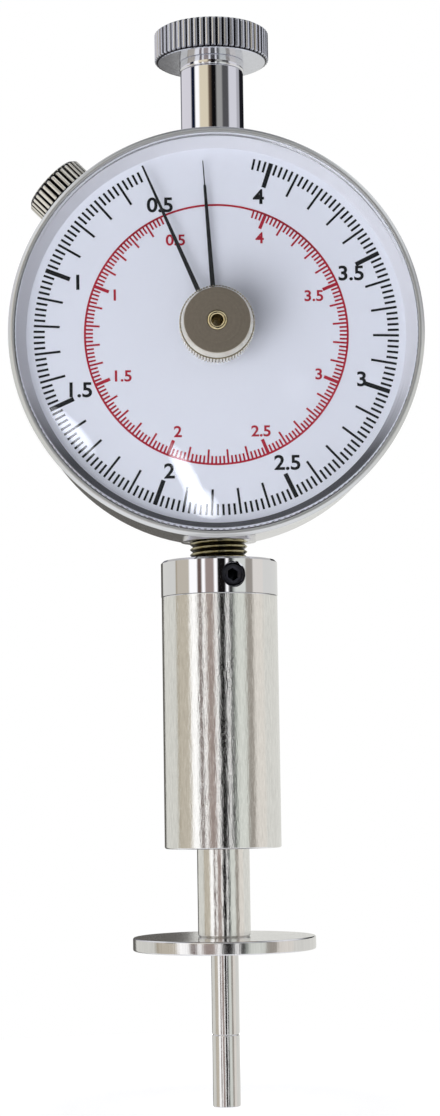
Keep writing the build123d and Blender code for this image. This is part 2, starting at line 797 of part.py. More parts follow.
with BuildPart() as train_gear:
    with BuildSketch(dial_plane(train_y)):
        with Locations(idler_spot):
            gear_outline(train_gear_teeth, train_module, turn=mesh_angle)
            with PolarLocations(train_gear_r * 0.55, 4):
                Circle(train_gear_r * 0.22, mode=Mode.SUBTRACT)
        holes([idler_spot], arbor_r)
    extrude(amount=train_face)
save(train_gear, "train_gear")

with BuildPart() as centre_arbor:
    arbor_end = drive_pointer_y - hub_r * 0.2
    with BuildSketch(dial_plane(middle_plate_y)):
        Circle(centre_arbor_r)
    extrude(amount=middle_plate_y - arbor_end)
save(centre_arbor, "centre_arbor")

with BuildPart() as centre_pinion:
    with BuildSketch(dial_plane(train_y)):
        gear_outline(centre_pinion_teeth, train_module, turn=mesh_angle + 180 + 180 / centre_pinion_teeth)
        Circle(centre_arbor_r, mode=Mode.SUBTRACT)
    extrude(amount=train_face)
save(centre_pinion, "centre_pinion")

with BuildPart() as hairspring_collet:
    with BuildSketch(dial_plane(train_y - train_face)):
        ring(hairspring_inner_r - 2 * free, centre_arbor_r)
    extrude(amount=train_y - train_face - front_plate_y - 2 * free)
save(hairspring_collet, "hairspring_collet")

hairspring_back = front_plate_y + 2 * free + hairspring_height
with BuildPart() as hairspring:
    growth = hairspring_outer_r - hairspring_inner_r
    steps = int(hairspring_turns * hairspring_steps)
    coil_points = [
        (hairspring_inner_r + growth * step / steps, 360 * step / hairspring_steps)
        for step in range(steps + 1)
    ]
    with BuildSketch(dial_plane(hairspring_back)):
        inner_side = [polar(radius, angle) for radius, angle in coil_points]
        outer_side = [polar(radius + hairspring_thickness, angle) for radius, angle in coil_points]
        outline(inner_side + outer_side[::-1])
    extrude(amount=hairspring_height)
save(hairspring, "hairspring")

with BuildPart() as hairspring_stud:
    stud_angle = 360 * hairspring_turns
    with BuildSketch(dial_plane(hairspring_back)):
        with Locations(polar(hairspring_outer_r + hairspring_thickness + stud_r, stud_angle)):
            Circle(stud_r)
    extrude(amount=hairspring_back - front_plate_y)
save(hairspring_stud, "hairspring_stud")

# ================================================================ pointers
with BuildPart() as drive_pointer:
    with BuildSketch(dial_plane(drive_pointer_y + pointer_thickness / 2)):
        Circle(pointer_eye_r * 0.9)
        pointer_outline(drive_rest_angle, drive_pointer_reach, pointer_needle_length)
        Circle(hub_r * 0.8, mode=Mode.SUBTRACT)
    extrude(amount=pointer_thickness)
save(drive_pointer, "drive_pointer")

with BuildPart() as pointer_hub:
    hub_back = dial_y - 3 * free
    with BuildSketch(dial_plane(hub_back)):
        ring(hub_r, centre_arbor_r)
    extrude(amount=hub_back - drive_pointer_y - pointer_thickness / 2)
    with BuildSketch(dial_plane(hub_back)):
        ring(hub_r * 0.8, centre_arbor_r)
    extrude(amount=hub_back - drive_pointer_y + pointer_thickness / 2)
save(pointer_hub, "pointer_hub")

# ================================================================ bezel, crystal and dial
crystal_edge_front = bezel_front_y + bezel_lip
crystal_edge_back = crystal_edge_front + crystal_thickness
dome_edge_r = bezel_opening_r - free
dome_front = crystal_edge_front - crystal_rise
shoulder_front = crystal_edge_front - crystal_shoulder_height
skirt_r = case_bore_r - running * 2

with BuildPart() as bezel_ring:
    bezel_back_y = case_front_y - free * 2
    dial_back_y = dial_y + dial_thickness
    with BuildSketch(dial_section):
        outline([
            (bezel_opening_r, bezel_front_y), (bezel_r, bezel_front_y), (bezel_r, bezel_back_y),
            (skirt_r, bezel_back_y), (skirt_r, skirt_rear_y), (skirt_r - skirt_wall, skirt_rear_y),
            (skirt_r - skirt_wall, dial_back_y), (crystal_r, dial_back_y), (crystal_r, crystal_edge_front),
            (bezel_opening_r, crystal_edge_front),
        ])
    revolve(axis=dial_axis)
    rim_edges = bezel_ring.edges().filter_by(GeomType.CIRCLE).group_by(SortBy.RADIUS)[-1]
    chamfer(rim_edges.sort_by(Axis.Y)[0], bezel_edge)
    with BuildSketch(dial_section):
        with Locations((skirt_r, snap_ring_y)):
            Rectangle(2 * (snap_ring_depth / 2 + free), snap_ring_section + 2 * free)
    revolve(axis=dial_axis, mode=Mode.SUBTRACT)
save(bezel_ring, "bezel_ring")

def dome_radius(edge_r):
    """Radius of the shallow dome that rises from the shoulder at edge_r to the crystal's middle."""
    rise = crystal_rise - crystal_shoulder_height
    return (edge_r**2 + rise**2) / (2 * rise)


with BuildPart() as crystal:
    outer_shoulder_r = dome_edge_r - crystal_shoulder_width
    inner_shoulder_r = outer_shoulder_r - crystal_thickness / 2
    with BuildSketch(dial_section):
        with BuildLine():
            front = RadiusArc((outer_shoulder_r, shoulder_front), (0, dome_front), dome_radius(outer_shoulder_r))
            Line(front @ 1, (0, dome_front + crystal_thickness))
            back = RadiusArc((0, dome_front + crystal_thickness),
                             (inner_shoulder_r, shoulder_front + crystal_thickness),
                             -dome_radius(inner_shoulder_r))
            Polyline(back @ 1, (inner_shoulder_r + crystal_shoulder_width, crystal_edge_back),
                     (crystal_r, crystal_edge_back), (crystal_r, crystal_edge_front),
                     (dome_edge_r, crystal_edge_front), front @ 0)
        make_face()
    revolve(axis=dial_axis)
    with BuildSketch(dial_plane(dial_y)):
        Circle(crystal_bush_r)
    extrude(amount=dial_y - dome_front + 1, mode=Mode.SUBTRACT)
save(crystal, "crystal")

with BuildPart() as dial_spacer:
    with BuildSketch(dial_plane(dial_y)):
        ring(crystal_r, bezel_opening_r)
    extrude(amount=dial_y - crystal_edge_back)
save(dial_spacer, "dial_spacer")

with BuildPart() as dial_plate:
    with BuildSketch(dial_plane(dial_back_y)):
        ring(crystal_r, dial_hole_r)
    extrude(amount=dial_thickness)
save(dial_plate, "dial_plate")

with BuildPart() as crystal_bush:
    flange_back = dome_front + crystal_thickness + free + bush_flange
    with BuildSketch(dial_section):
        outline([
            (rivet_r + running, knob_rim_rear_y + free), (crystal_bush_r, knob_rim_rear_y + free),
            (crystal_bush_r, flange_back - bush_flange),
            (crystal_bush_r + bush_flange_width, flange_back - bush_flange),
            (crystal_bush_r + bush_flange_width, flange_back), (rivet_r + running, flange_back),
        ])
    revolve(axis=dial_axis)
save(crystal_bush, "crystal_bush")

# ================================================================ reset knob and peak pointer
with BuildPart() as reset_knob:
    # the knurled rim, then the plain cone that narrows to the face
    with BuildSketch(dial_plane(knob_rim_rear_y)):
        knurl_outline(knob_teeth, knob_rim_r, knob_tooth_depth)
    extrude(amount=knob_rim_height)
    with BuildSketch(dial_section):
        rim_front_y = knob_rim_rear_y - knob_rim_height
        cone_r = knob_rim_r - knob_tooth_depth - running
        outline([
            (0, knob_face_y), (knob_face_r, knob_face_y), (cone_r, rim_front_y), (0, rim_front_y),
        ])
    revolve(axis=dial_axis)
    with BuildSketch(dial_plane(knob_rim_rear_y)):
        Circle(rivet_r)
    extrude(amount=knob_rim_rear_y - knob_face_y, mode=Mode.SUBTRACT)
save(reset_knob, "reset_knob")

eye_back_y = peak_pointer_y + pointer_thickness / 2
with BuildPart() as knob_rivet:
    with BuildSketch(dial_plane(eye_back_y)):
        ring(rivet_r, rivet_bore_r)
    extrude(amount=eye_back_y - knob_face_y + rivet_proud)
save(knob_rivet, "knob_rivet")

with BuildPart() as peak_pointer:
    with BuildSketch(dial_plane(eye_back_y)):
        Circle(pointer_eye_r)
        pointer_outline(peak_rest_angle, peak_pointer_reach, 0)
        Circle(rivet_r, mode=Mode.SUBTRACT)
    extrude(amount=pointer_thickness)
save(peak_pointer, "peak_pointer")

friction_washer_back = flange_back + running + friction_washer_thickness
with BuildPart() as friction_washer:
    with BuildSketch(dial_plane(friction_washer_back)):
        ring(crystal_bush_r + bush_flange_width / 2, rivet_r + running)
    extrude(amount=friction_washer_thickness)
save(friction_washer, "friction_washer")

with BuildPart() as peak_pointer_hub:
    with BuildSketch(dial_plane(eye_back_y - pointer_thickness)):
        ring(pointer_eye_r, rivet_r)
    extrude(amount=eye_back_y - pointer_thickness - friction_washer_back)
save(peak_pointer_hub, "peak_pointer_hub")

# ================================================================ clamp screw
head_base = bezel_r + clamp_head_gap
with BuildPart() as clamp_screw:
    # the knurled band, then the plain chamfered ends and the shank
    with BuildSketch(clamp_plane(head_base + clamp_chamfer / 2)):
        knurl_outline(clamp_teeth, clamp_head_r, clamp_tooth_depth)
    extrude(amount=clamp_head_height - 1.5 * clamp_chamfer)
    with BuildSketch(clamp_section):
        head_root_r = clamp_head_r - clamp_tooth_depth - running
        head_top = head_base + clamp_head_height
        shank_end = case_bore_r + clamp_pad_thickness + seat_gap
        outline([
            (0, shank_end), (clamp_shank_r, shank_end), (clamp_shank_r, head_base),
            (head_root_r - clamp_chamfer / 2, head_base), (head_root_r, head_base + clamp_chamfer / 2),
            (head_root_r, head_top - clamp_chamfer), (head_root_r - clamp_chamfer, head_top), (0, head_top),
        ])
    revolve(axis=clamp_axis)
save(clamp_screw, "clamp_screw")

with BuildPart() as clamp_pad:
    with BuildSketch(clamp_plane(case_bore_r + running)):
        Circle(clamp_shank_r)
    extrude(amount=clamp_pad_thickness - running)
save(clamp_pad, "clamp_pad")
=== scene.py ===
"""Looks of a push hardness tester: metal finishes, printed dial, crystal, knurling, thread and studio."""

import json
import math

import bmesh
import bpy
from mathutils import Matrix, Vector

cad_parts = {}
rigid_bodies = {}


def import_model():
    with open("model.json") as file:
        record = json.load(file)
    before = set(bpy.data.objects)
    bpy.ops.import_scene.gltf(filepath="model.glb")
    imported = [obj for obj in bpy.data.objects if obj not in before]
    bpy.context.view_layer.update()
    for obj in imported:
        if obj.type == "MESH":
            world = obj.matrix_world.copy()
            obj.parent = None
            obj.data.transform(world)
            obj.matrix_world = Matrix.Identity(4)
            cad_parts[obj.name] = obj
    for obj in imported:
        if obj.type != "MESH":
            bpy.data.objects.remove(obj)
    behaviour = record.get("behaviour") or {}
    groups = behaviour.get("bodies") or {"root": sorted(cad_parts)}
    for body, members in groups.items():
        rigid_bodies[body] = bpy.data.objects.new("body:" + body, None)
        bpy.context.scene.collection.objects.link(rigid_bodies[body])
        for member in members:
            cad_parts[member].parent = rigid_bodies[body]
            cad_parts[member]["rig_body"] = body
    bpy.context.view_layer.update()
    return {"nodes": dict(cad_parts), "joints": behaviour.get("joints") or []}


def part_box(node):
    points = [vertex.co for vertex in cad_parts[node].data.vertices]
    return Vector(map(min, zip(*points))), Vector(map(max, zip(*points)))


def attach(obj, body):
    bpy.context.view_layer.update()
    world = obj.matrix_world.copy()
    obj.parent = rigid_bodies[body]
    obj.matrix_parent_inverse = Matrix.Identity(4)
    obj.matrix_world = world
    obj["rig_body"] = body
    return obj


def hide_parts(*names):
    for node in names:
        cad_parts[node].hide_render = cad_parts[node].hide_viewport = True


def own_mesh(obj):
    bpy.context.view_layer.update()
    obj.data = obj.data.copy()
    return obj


MM = 0.001

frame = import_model()
nodes = frame["nodes"]
slot_of = {name: node.data.materials[0].name for name, node in nodes.items()}
for plain in list(bpy.data.materials):
    bpy.data.materials.remove(plain)


# ---------------------------------------------------------------- places, read from the frame
def radius_of(node):
    """Half of a round node's width."""
    low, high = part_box(node)
    return (high.x - low.x) / 2


def span_of(node, axis):
    """A node's lowest and highest place along x, y or z."""
    low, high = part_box(node)
    return getattr(low, axis), getattr(high, axis)


DIAL_HEIGHT = sum(span_of("dial_plate", "z")) / 2
DIAL_FACE = span_of("dial_plate", "y")[0]
DIAL_CENTRE = Vector((0, 0, DIAL_HEIGHT))
ALONG_Y = Matrix.Translation(DIAL_CENTRE) @ Matrix.Rotation(-math.pi / 2, 4, "X")


# ---------------------------------------------------------------- shader graphs
def srgb(red, green, blue):
    """A colour given in 0 to 255 screen values, as the linear colour that shaders take."""
    def linear(share):
        return share / 12.92 if share <= 0.04045 else ((share + 0.055) / 1.055) ** 2.4
    return [linear(value / 255) for value in (red, green, blue)] + [1.0]


def scaled(colour, share):
    """A colour made darker or lighter, up to white."""
    return [min(1.0, channel * share) for channel in colour[:3]] + [1.0]


class Wire:
    """A number on its way through a shader; sums and products of wires add their Math nodes."""

    def __init__(self, graph, socket):
        self.graph = graph
        self.socket = socket

    def reckon(self, operation, *values):
        inputs = dict(enumerate(values))
        return self.graph.node("ShaderNodeMath", {"operation": operation}, inputs)

    def __add__(self, other):
        return self.reckon("ADD", self, other)

    def __sub__(self, other):
        return self.reckon("SUBTRACT", self, other)

    def __mul__(self, other):
        return self.reckon("MULTIPLY", self, other)

    def __truediv__(self, other):
        return self.reckon("DIVIDE", self, other)

    def __rsub__(self, other):
        return self.reckon("SUBTRACT", other, self)

    def __neg__(self):
        return self.reckon("MULTIPLY", self, -1.0)

    def __pow__(self, other):
        return self.reckon("POWER", self, other)

    __radd__ = __add__

    def clamped(self):
        return self.reckon("MINIMUM", self.reckon("MAXIMUM", self, 0.0), 1.0)


class Graph:
    """A shader's node tree, filled through one method."""

    def __init__(self, tree):
        tree.nodes.clear()
        self.tree = tree

    def node(self, kind, settings=None, inputs=None, output=0):
        """Adds a node. Settings come first, then values or wires for its inputs, by name or number."""
        made = self.tree.nodes.new(kind)
        for name, value in (settings or {}).items():
            if name == "stops":
                fill_ramp(made.color_ramp, value)
            else:
                setattr(made, name, value)
        for key, value in (inputs or {}).items():
            socket = made.inputs[key] if isinstance(key, int) else self.find(made.inputs, key)
            if isinstance(value, Wire):
                self.tree.links.new(value.socket, socket)
            else:
                socket.default_value = value
        if not made.outputs:
            return None
        chosen = made.outputs[output] if isinstance(output, int) else self.find(made.outputs, output)
        return Wire(self, chosen)

    def split(self, place):
        """The x, y and z of a place."""
        parts = self.node("ShaderNodeSeparateXYZ", {}, {0: place}).socket.node
        return [Wire(self, socket) for socket in parts.outputs]

    @staticmethod
    def find(sockets, key):
        return next(socket for socket in sockets if key in (socket.identifier, socket.name))

    def mixed(self, factor, first, second):
        """Blends two colours."""
        return self.node("ShaderNodeMix", {"data_type": "RGBA"},
                         {"Factor_Float": factor, "A_Color": first, "B_Color": second}, "Result_Color")

    def object_place(self):
        return self.node("ShaderNodeTexCoord", output="Object")

    def noise(self, place, scale=1.0, detail=2.0, roughness=0.5):
        """Noise from 0 to 1 at a place."""
        return self.node("ShaderNodeTexNoise", {},
                         {"Vector": place, "Scale": scale, "Detail": detail, "Roughness": roughness}, "Fac")


def fill_ramp(ramp, stops):
    """Sets a ramp from its interpolation and its (position, colour) points."""
    interpolation, points = stops
    ramp.interpolation = interpolation
    while len(ramp.elements) < len(points):
        ramp.elements.new(1.0)
    for element, (position, colour) in zip(ramp.elements, sorted(points, key=lambda point: point[0])):
        element.position = position
        element.color = colour


# ---------------------------------------------------------------- surface patterns
def streaks_along_z(graph, across, along):
    """Fine drawn lines that run up and down: places squeezed along Z, per millimetre."""
    return graph.node("ShaderNodeMapping", {"vector_type": "POINT"},
                      {"Vector": graph.object_place(), "Scale": (across / MM, across / MM, along / MM)})


def turned_rings(graph, axis, centre=(0, 0, 0), across=9.0, around=0.25):
    """Fine rings about an axis: the place is (radius, height along the axis, a slow angle)."""
    place = graph.node("ShaderNodeVectorMath", {"operation": "SUBTRACT"},
                       {0: graph.object_place(), 1: tuple(centre)})
    x, y, z = graph.split(place)
    first, second, height = (x, y, z) if axis == "Z" else (x, z, y)
    radius = (first * first + second * second) ** 0.5
    angle = first.reckon("ARCTAN2", second, first)
    return graph.node("ShaderNodeCombineXYZ", {},
                      {0: radius * (across / MM), 1: height * (across / MM), 2: angle * around})


def material(name):
    made = bpy.data.materials.new(name)
    made.use_nodes = True
    return made, Graph(made.node_tree)


def close(graph, shader):
    graph.node("ShaderNodeOutputMaterial", {}, {"Surface": shader})


def metal(name, colour, roughness, pattern=None, *, tint=0.04, rough_spread=0.06, groove=0.0, specks=0.0,
          metallic=1.0):
    """A bare metal with its machining marks: the pattern changes colour, roughness and relief a little."""
    made, graph = material(name)
    place = graph.object_place()
    marks = graph.noise(pattern(graph) if pattern else place, 1.0 if pattern else PLAIN_GRAIN / MM, 4.0, 0.6)
    clouds = graph.noise(place, CLOUD_GRAIN / MM, 3.0, 0.55)
    shade = (marks - 0.5) * (2 * tint) + (clouds - 0.5) * (2 * BLOTCH)
    if specks:
        grit = graph.noise(place, SPECK_GRAIN / MM, 2.0, 0.7)
        shade = shade - (grit - SPECK_LEVEL).clamped() * specks
    tone = graph.mixed((shade + 0.5).clamped(), scaled(colour, DARK_SHARE), scaled(colour, LIGHT_SHARE))
    rough = (marks - 0.5) * (2 * rough_spread) + (clouds - 0.5) * rough_spread + roughness
    relief = graph.node("ShaderNodeBump", {}, {"Height": marks, "Distance": groove * MM, "Strength": 1.0})
    close(graph, graph.node("ShaderNodeBsdfPrincipled", {}, {
        "Base Color": tone, "Roughness": rough.clamped(), "Metallic": metallic, "Normal": relief}))
    return made


PLAIN_GRAIN, CLOUD_GRAIN, SPECK_GRAIN, SPECK_LEVEL = 2.2, 0.11, 5.5, 0.62
BLOTCH, DARK_SHARE, LIGHT_SHARE = 0.03, 0.72, 1.22


def away_from(graph, centre, along):
    """How far a place lies from an axis through a point."""
    arm = graph.node("ShaderNodeVectorMath", {"operation": "SUBTRACT"},
                     {0: graph.object_place(), 1: tuple(centre)})
    height = graph.node("ShaderNodeVectorMath", {"operation": "DOT_PRODUCT"},
                        {0: arm, 1: tuple(along)}, "Value")
    shadow = graph.node("ShaderNodeVectorMath", {"operation": "SCALE"}, {0: tuple(along), "Scale": height})
    across = graph.node("ShaderNodeVectorMath", {"operation": "SUBTRACT"}, {0: arm, 1: shadow})
    return graph.node("ShaderNodeVectorMath", {"operation": "LENGTH"}, {0: across}, "Value")


def grooved_metal(name, centre, along, radius, depth, crest, groove, roughness, *, face=None, metallic=1.0):
    """A bright metal with painted shade down in its knurl or thread; face gives the depth, along Y, to which
    a matte front reaches, and its two colours."""
    made, graph = material(name)
    grit = graph.noise(graph.object_place(), GRIT_GRAIN / MM, 3.0, 0.6)
    reach = away_from(graph, centre, along)
    in_zone = ((reach - radius + GROOVE_ZONE * MM) / (ZONE_EDGE * MM)).clamped()
    # Painted shade: the groove colour takes over the deeper a place lies in the knurl or thread.
    down = ((radius - reach) / (depth * MM)).clamped() * in_zone
    bright = graph.mixed(grit, scaled(crest, WORN_SHARE), crest)
    rough = (grit - 0.5) * (2 * GRIT_ROUGHNESS) + roughness
    if face:
        front, dark, light = face
        depth_in = graph.split(graph.object_place())[1] - front
        matte = (-depth_in / (FACE_EDGE * MM)).clamped()
        rim = ((depth_in - KNOB_CONE_DEPTH * MM) / (RIM_EDGE * MM)).clamped()
        rings = graph.noise(turned_rings(graph, "Y", DIAL_CENTRE, across=4.0), 1.0, 4.0, 0.65)
        plain = graph.mixed((rings * 0.45 + grit * 0.55).clamped(), dark, light)
        # On the reset knob the painted groove shade stays on the knurled rim; the front is the matte face.
        tone = graph.mixed(matte, graph.mixed(down * rim, bright, groove), plain)
        rough = rough + matte * FACE_ROUGHNESS
        relief = rings * matte
    else:
        tone = graph.mixed(down, bright, groove)
        relief = grit
    bump = graph.node("ShaderNodeBump", {}, {"Height": relief, "Distance": GRIT_RELIEF * MM, "Strength": 1.0})
    close(graph, graph.node("ShaderNodeBsdfPrincipled", {}, {
        "Base Color": tone, "Roughness": rough.clamped(), "Metallic": metallic, "Normal": bump}))
    return made


GRIT_GRAIN, GRIT_ROUGHNESS, GRIT_RELIEF, WORN_SHARE = 2.6, 0.05, 0.003, 0.8
GROOVE_ZONE, ZONE_EDGE, FACE_EDGE, RIM_EDGE = 0.42, 0.05, 0.06, 0.1
KNOB_CONE_DEPTH, FACE_ROUGHNESS = 1.15, 0.3


def lacquer(name, colour, roughness, *, relief=0.0, relief_scale=3.0, mottle=0.04, shine=0.5):
    """A painted, printed or moulded surface with slight mottling."""
    made, graph = material(name)
    place = graph.object_place()
    clouds = graph.noise(place, relief_scale / MM, 3.0, 0.6)
    tone = graph.mixed(clouds, scaled(colour, 1 - mottle), scaled(colour, 1 + mottle))
    bump = graph.node("ShaderNodeBump", {}, {"Height": clouds, "Distance": relief * MM, "Strength": 1.0})
    close(graph, graph.node("ShaderNodeBsdfPrincipled", {}, {
        "Base Color": tone, "Roughness": (clouds - 0.5) * (2 * PAINT_SPREAD) + roughness,
        "Specular IOR Level": shine, "Normal": bump}))
    return made


PAINT_SPREAD = 0.05


def shaded_ring(name, lit_tone, painted_shade_tone):
    """A satin ring round the dial with fine turned marks. The shade of its lower part is painted into its
    colour, so it turns with the bezel."""
    made, graph = material(name)
    low = (DIAL_HEIGHT - graph.split(graph.object_place())[2]) / radius_of("dial_plate")
    rings = graph.noise(turned_rings(graph, "Y", DIAL_CENTRE, around=1.5), 1.0, 3.0, 0.6)
    # Painted shade: the ring gets darker towards its bottom, and the turned rings break the edge of the
    # shade.
    shade = (low * SHADE_SLOPE - SHADE_START + (rings - 0.5) * SHADE_RINGS).clamped()
    close(graph, graph.node("ShaderNodeBsdfPrincipled", {}, {
        "Base Color": graph.mixed(shade, lit_tone, painted_shade_tone), "Roughness": rings * 0.2 + 0.32}))
    return made


SHADE_SLOPE, SHADE_START, SHADE_RINGS = 2.6, 0.7, 0.7


def glass(name, colour, refraction):
    """Clear moulded crystal that lets the lamps' light through to the dial."""
    made, graph = material(name)
    haze = graph.noise(graph.object_place(), 0.4 / MM, 2.0, 0.5)
    tone = graph.mixed(haze, scaled(colour, HAZE_SHARE), colour)
    clear = graph.node("ShaderNodeBsdfPrincipled", {}, {
        "Base Color": tone, "Roughness": 0.0, "IOR": refraction, "Transmission Weight": 1.0})
    open_way = graph.node("ShaderNodeBsdfTransparent", {}, {"Color": colour})
    shadow = graph.node("ShaderNodeLightPath", output="Is Shadow Ray")
    close(graph, graph.node("ShaderNodeMixShader", {}, {0: shadow, 1: clear, 2: open_way}))
    return made


HAZE_SHARE = 0.985


# ---------------------------------------------------------------- finishes
def along_barrel(graph):
    return streaks_along_z(graph, across=3.4, along=0.7)


def along_rod(graph):
    return streaks_along_z(graph, across=4.5, along=0.25)


def round_stem(graph):
    return turned_rings(graph, "Z", across=7.0)


def round_dial(graph):
    return turned_rings(graph, "Y", DIAL_CENTRE, across=6.0)


UP, OUT, CLAMP_WAY = (0, 0, 1), (0, 1, 0), (-math.sqrt(0.5), 0, math.sqrt(0.5))
CLAMP_R = 4.3
knob_face = span_of("reset_knob", "y")[0] + 0.1 * MM
clamp_middle = Vector((0, sum(span_of("clamp_screw", "y")) / 2, DIAL_HEIGHT))

finish = {
    "warm_nickel": metal("warm_nickel", srgb(234, 233, 231), 0.11, along_barrel, tint=0.4, rough_spread=0.1,
                         groove=0.016, specks=1.6),
    "chrome": metal("chrome", srgb(232, 232, 238), 0.055, tint=0.02, rough_spread=0.02, groove=0.0001),
    "stainless": metal("stainless", srgb(228, 227, 227), 0.13, along_rod, tint=0.3, rough_spread=0.08,
                       groove=0.006),
    "satin_nickel": metal("satin_nickel", srgb(222, 221, 224), 0.2, round_dial, tint=0.06, groove=0.0006),
    "bezel_satin": metal("bezel_satin", srgb(226, 227, 226), 0.22, round_dial, tint=0.05, rough_spread=0.05,
                         groove=0.0005, metallic=0.65),
    # In these grooved finishes the second colour is painted shade in the grooves of the knurl or thread.
    "knob_nickel": grooved_metal("knob_nickel", DIAL_CENTRE, OUT, radius_of("reset_knob") - 0.03 * MM, 0.1,
                                 srgb(252, 247, 232), srgb(122, 110, 84), 0.16, metallic=0.55,
                                 face=(knob_face, srgb(112, 104, 92), srgb(146, 137, 124))),
    "thread_nickel": grooved_metal("thread_nickel", (0, 0, 0), UP, radius_of("threaded_stem") - 0.05 * MM,
                                   0.2, srgb(216, 208, 172), srgb(44, 38, 22), 0.2),
    "steel_screw": metal("steel_screw", srgb(190, 190, 190), 0.28, groove=0.0006),
    "spring_steel": metal("spring_steel", srgb(176, 178, 182), 0.3, groove=0.0006),
    "brass": metal("brass", srgb(222, 208, 168), 0.16, round_dial, groove=0.0006),
    "bronze": metal("bronze", srgb(176, 128, 84), 0.3, round_stem, groove=0.0006),
    "black_oxide": metal("black_oxide", srgb(52, 52, 58), 0.3, groove=0.0008),
    "nylon": lacquer("nylon", srgb(228, 226, 218), 0.45),
    "black_paint": lacquer("black_paint", srgb(7, 7, 9), 0.42, relief=0.001, shine=0.25),
    "dial_white": lacquer("dial_white", srgb(232, 234, 243), 0.5, mottle=0.012, relief_scale=0.05),
    # Ring round the dial: the first colour is the lit ring, the second is the painted shade of its lower
    # part.
    "spacer_grey": shaded_ring("spacer_grey", srgb(222, 222, 228), srgb(46, 46, 50)),
    "crystal": glass("crystal", srgb(250, 251, 253), 1.47),
}
black_ink = lacquer("black_ink", srgb(6, 6, 8), 0.6, relief_scale=8.0, mottle=0.3, shine=0.1)
# Grip and clamp knurls: the second colour is painted shade in their grooves.
grip_chrome = grooved_metal("grip_chrome", (0, 0, 0), UP, radius_of("handle_knob") - 0.06 * MM, 0.24,
                            srgb(226, 228, 236), srgb(20, 22, 28), 0.1, metallic=0.8)
clamp_nickel = grooved_metal("clamp_nickel", clamp_middle, CLAMP_WAY, (CLAMP_R - 0.03) * MM, 0.1,
                             srgb(246, 242, 230), srgb(12, 11, 10), 0.14, metallic=0.5)
red_ink = lacquer("red_ink", srgb(172, 26, 48), 0.6, relief_scale=8.0, mottle=0.15, shine=0.1)

for name, node in nodes.items():
    node.data.materials[0] = finish[slot_of[name]]


# ---------------------------------------------------------------- meshes
def placed(name, mesh, body, slot, made_of=None, replaced=()):
    """Puts a finished mesh into the scene as a piece that rides on a body and may stand for CAD nodes."""
    mesh.materials.clear()
    mesh.materials.append(made_of or finish[slot])
    piece = bpy.data.objects.new(name, mesh)
    bpy.context.scene.collection.objects.link(piece)
    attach(piece, body)
    if replaced:
        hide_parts(*replaced)
    return piece


def evaluated(holder):
    """The plain mesh of an object with its modifiers applied; the object goes."""
    bpy.context.view_layer.update()
    mesh = bpy.data.meshes.new_from_object(holder.evaluated_get(bpy.context.evaluated_depsgraph_get()))
    bpy.data.objects.remove(holder)
    return mesh


def new_holder(data):
    holder = bpy.data.objects.new("holder", data)
    bpy.context.scene.collection.objects.link(holder)
    return holder


def weighted(mesh, sharp_angle):
    """Smooth shading whose normals follow the large faces, so that small bevels read as rounded edges."""
    mesh.shade_smooth()
    mesh.set_sharp_from_angle(angle=math.radians(sharp_angle))
    holder = new_holder(mesh)
    modifier = holder.modifiers.new("normals", "WEIGHTED_NORMAL")
    modifier.keep_sharp = True
    modifier.weight = 100
    return evaluated(holder)


def merged(node):
    """A copy of a CAD node's mesh with its loose triangles joined."""
    mesh = nodes[node].data.copy()
    work = bmesh.new()
    work.from_mesh(mesh)
    bmesh.ops.remove_doubles(work, verts=work.verts, dist=0.001 * MM)
    work.to_mesh(mesh)
    work.free()
    mesh.shade_smooth()
    mesh.set_sharp_from_angle(angle=math.radians(CREASE))
    return mesh


CREASE = 28
ROUND_WALL = math.cos(math.radians(9))
FLAT_FACE = 0.999


def smoothed(node, along=Vector((0, 0, 1)), centre=Vector((0, 0, 0))):
    """A finished copy of a CAD node: exact normals on its round walls about an axis and on its flat faces."""
    mesh = merged(node)
    corners = [corner.vector.copy() for corner in mesh.corner_normals]
    for face in mesh.polygons:
        arm = face.center - centre
        arm -= along * arm.dot(along)
        facing = face.normal.dot(arm.normalized()) if arm.length > 0 else 0
        flat = abs(face.normal.dot(along)) > FLAT_FACE
        for corner in face.loop_indices:
            if flat:
                corners[corner] = face.normal.copy()
            elif abs(facing) > ROUND_WALL:
                out = mesh.vertices[mesh.loops[corner].vertex_index].co - centre
                out -= along * out.dot(along)
                corners[corner] = out.normalized() * math.copysign(1, facing)
    mesh.normals_split_custom_set(corners)
    return placed(f"{node}_finish", mesh, nodes[node]["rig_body"], slot_of[node], replaced=[node])


def rounded(outline, closed):
    """An outline whose points (radius, height, corner radius) get arcs at the corners that have a radius."""
    points = []
    count = len(outline)
    for number, corner in enumerate(outline):
        place = Vector(corner[:2])
        size = corner[2] if len(corner) > 2 else 0
        at_end = not closed and number in (0, count - 1)
        if not size or at_end:
            points.append(place)
            continue
        before = Vector(outline[number - 1][:2]) - place
        after = Vector(outline[(number + 1) % count][:2]) - place
        half = before.angle(after) / 2
        reach = size / math.tan(half)
        start, end = place + before.normalized() * reach, place + after.normalized() * reach
        between = (before.normalized() + after.normalized()).normalized()
        middle = place + between * (size / math.sin(half))
        turn = (start - middle).angle_signed(end - middle)
        for step in range(ARC_STEPS + 1):
            arm = (start - middle).copy()
            arm.rotate(Matrix.Rotation(-turn * step / ARC_STEPS, 2))
            points.append(middle + arm)
    return points


ARC_STEPS = 5
TURN_STEPS, WIDE_STEPS = 192, 256


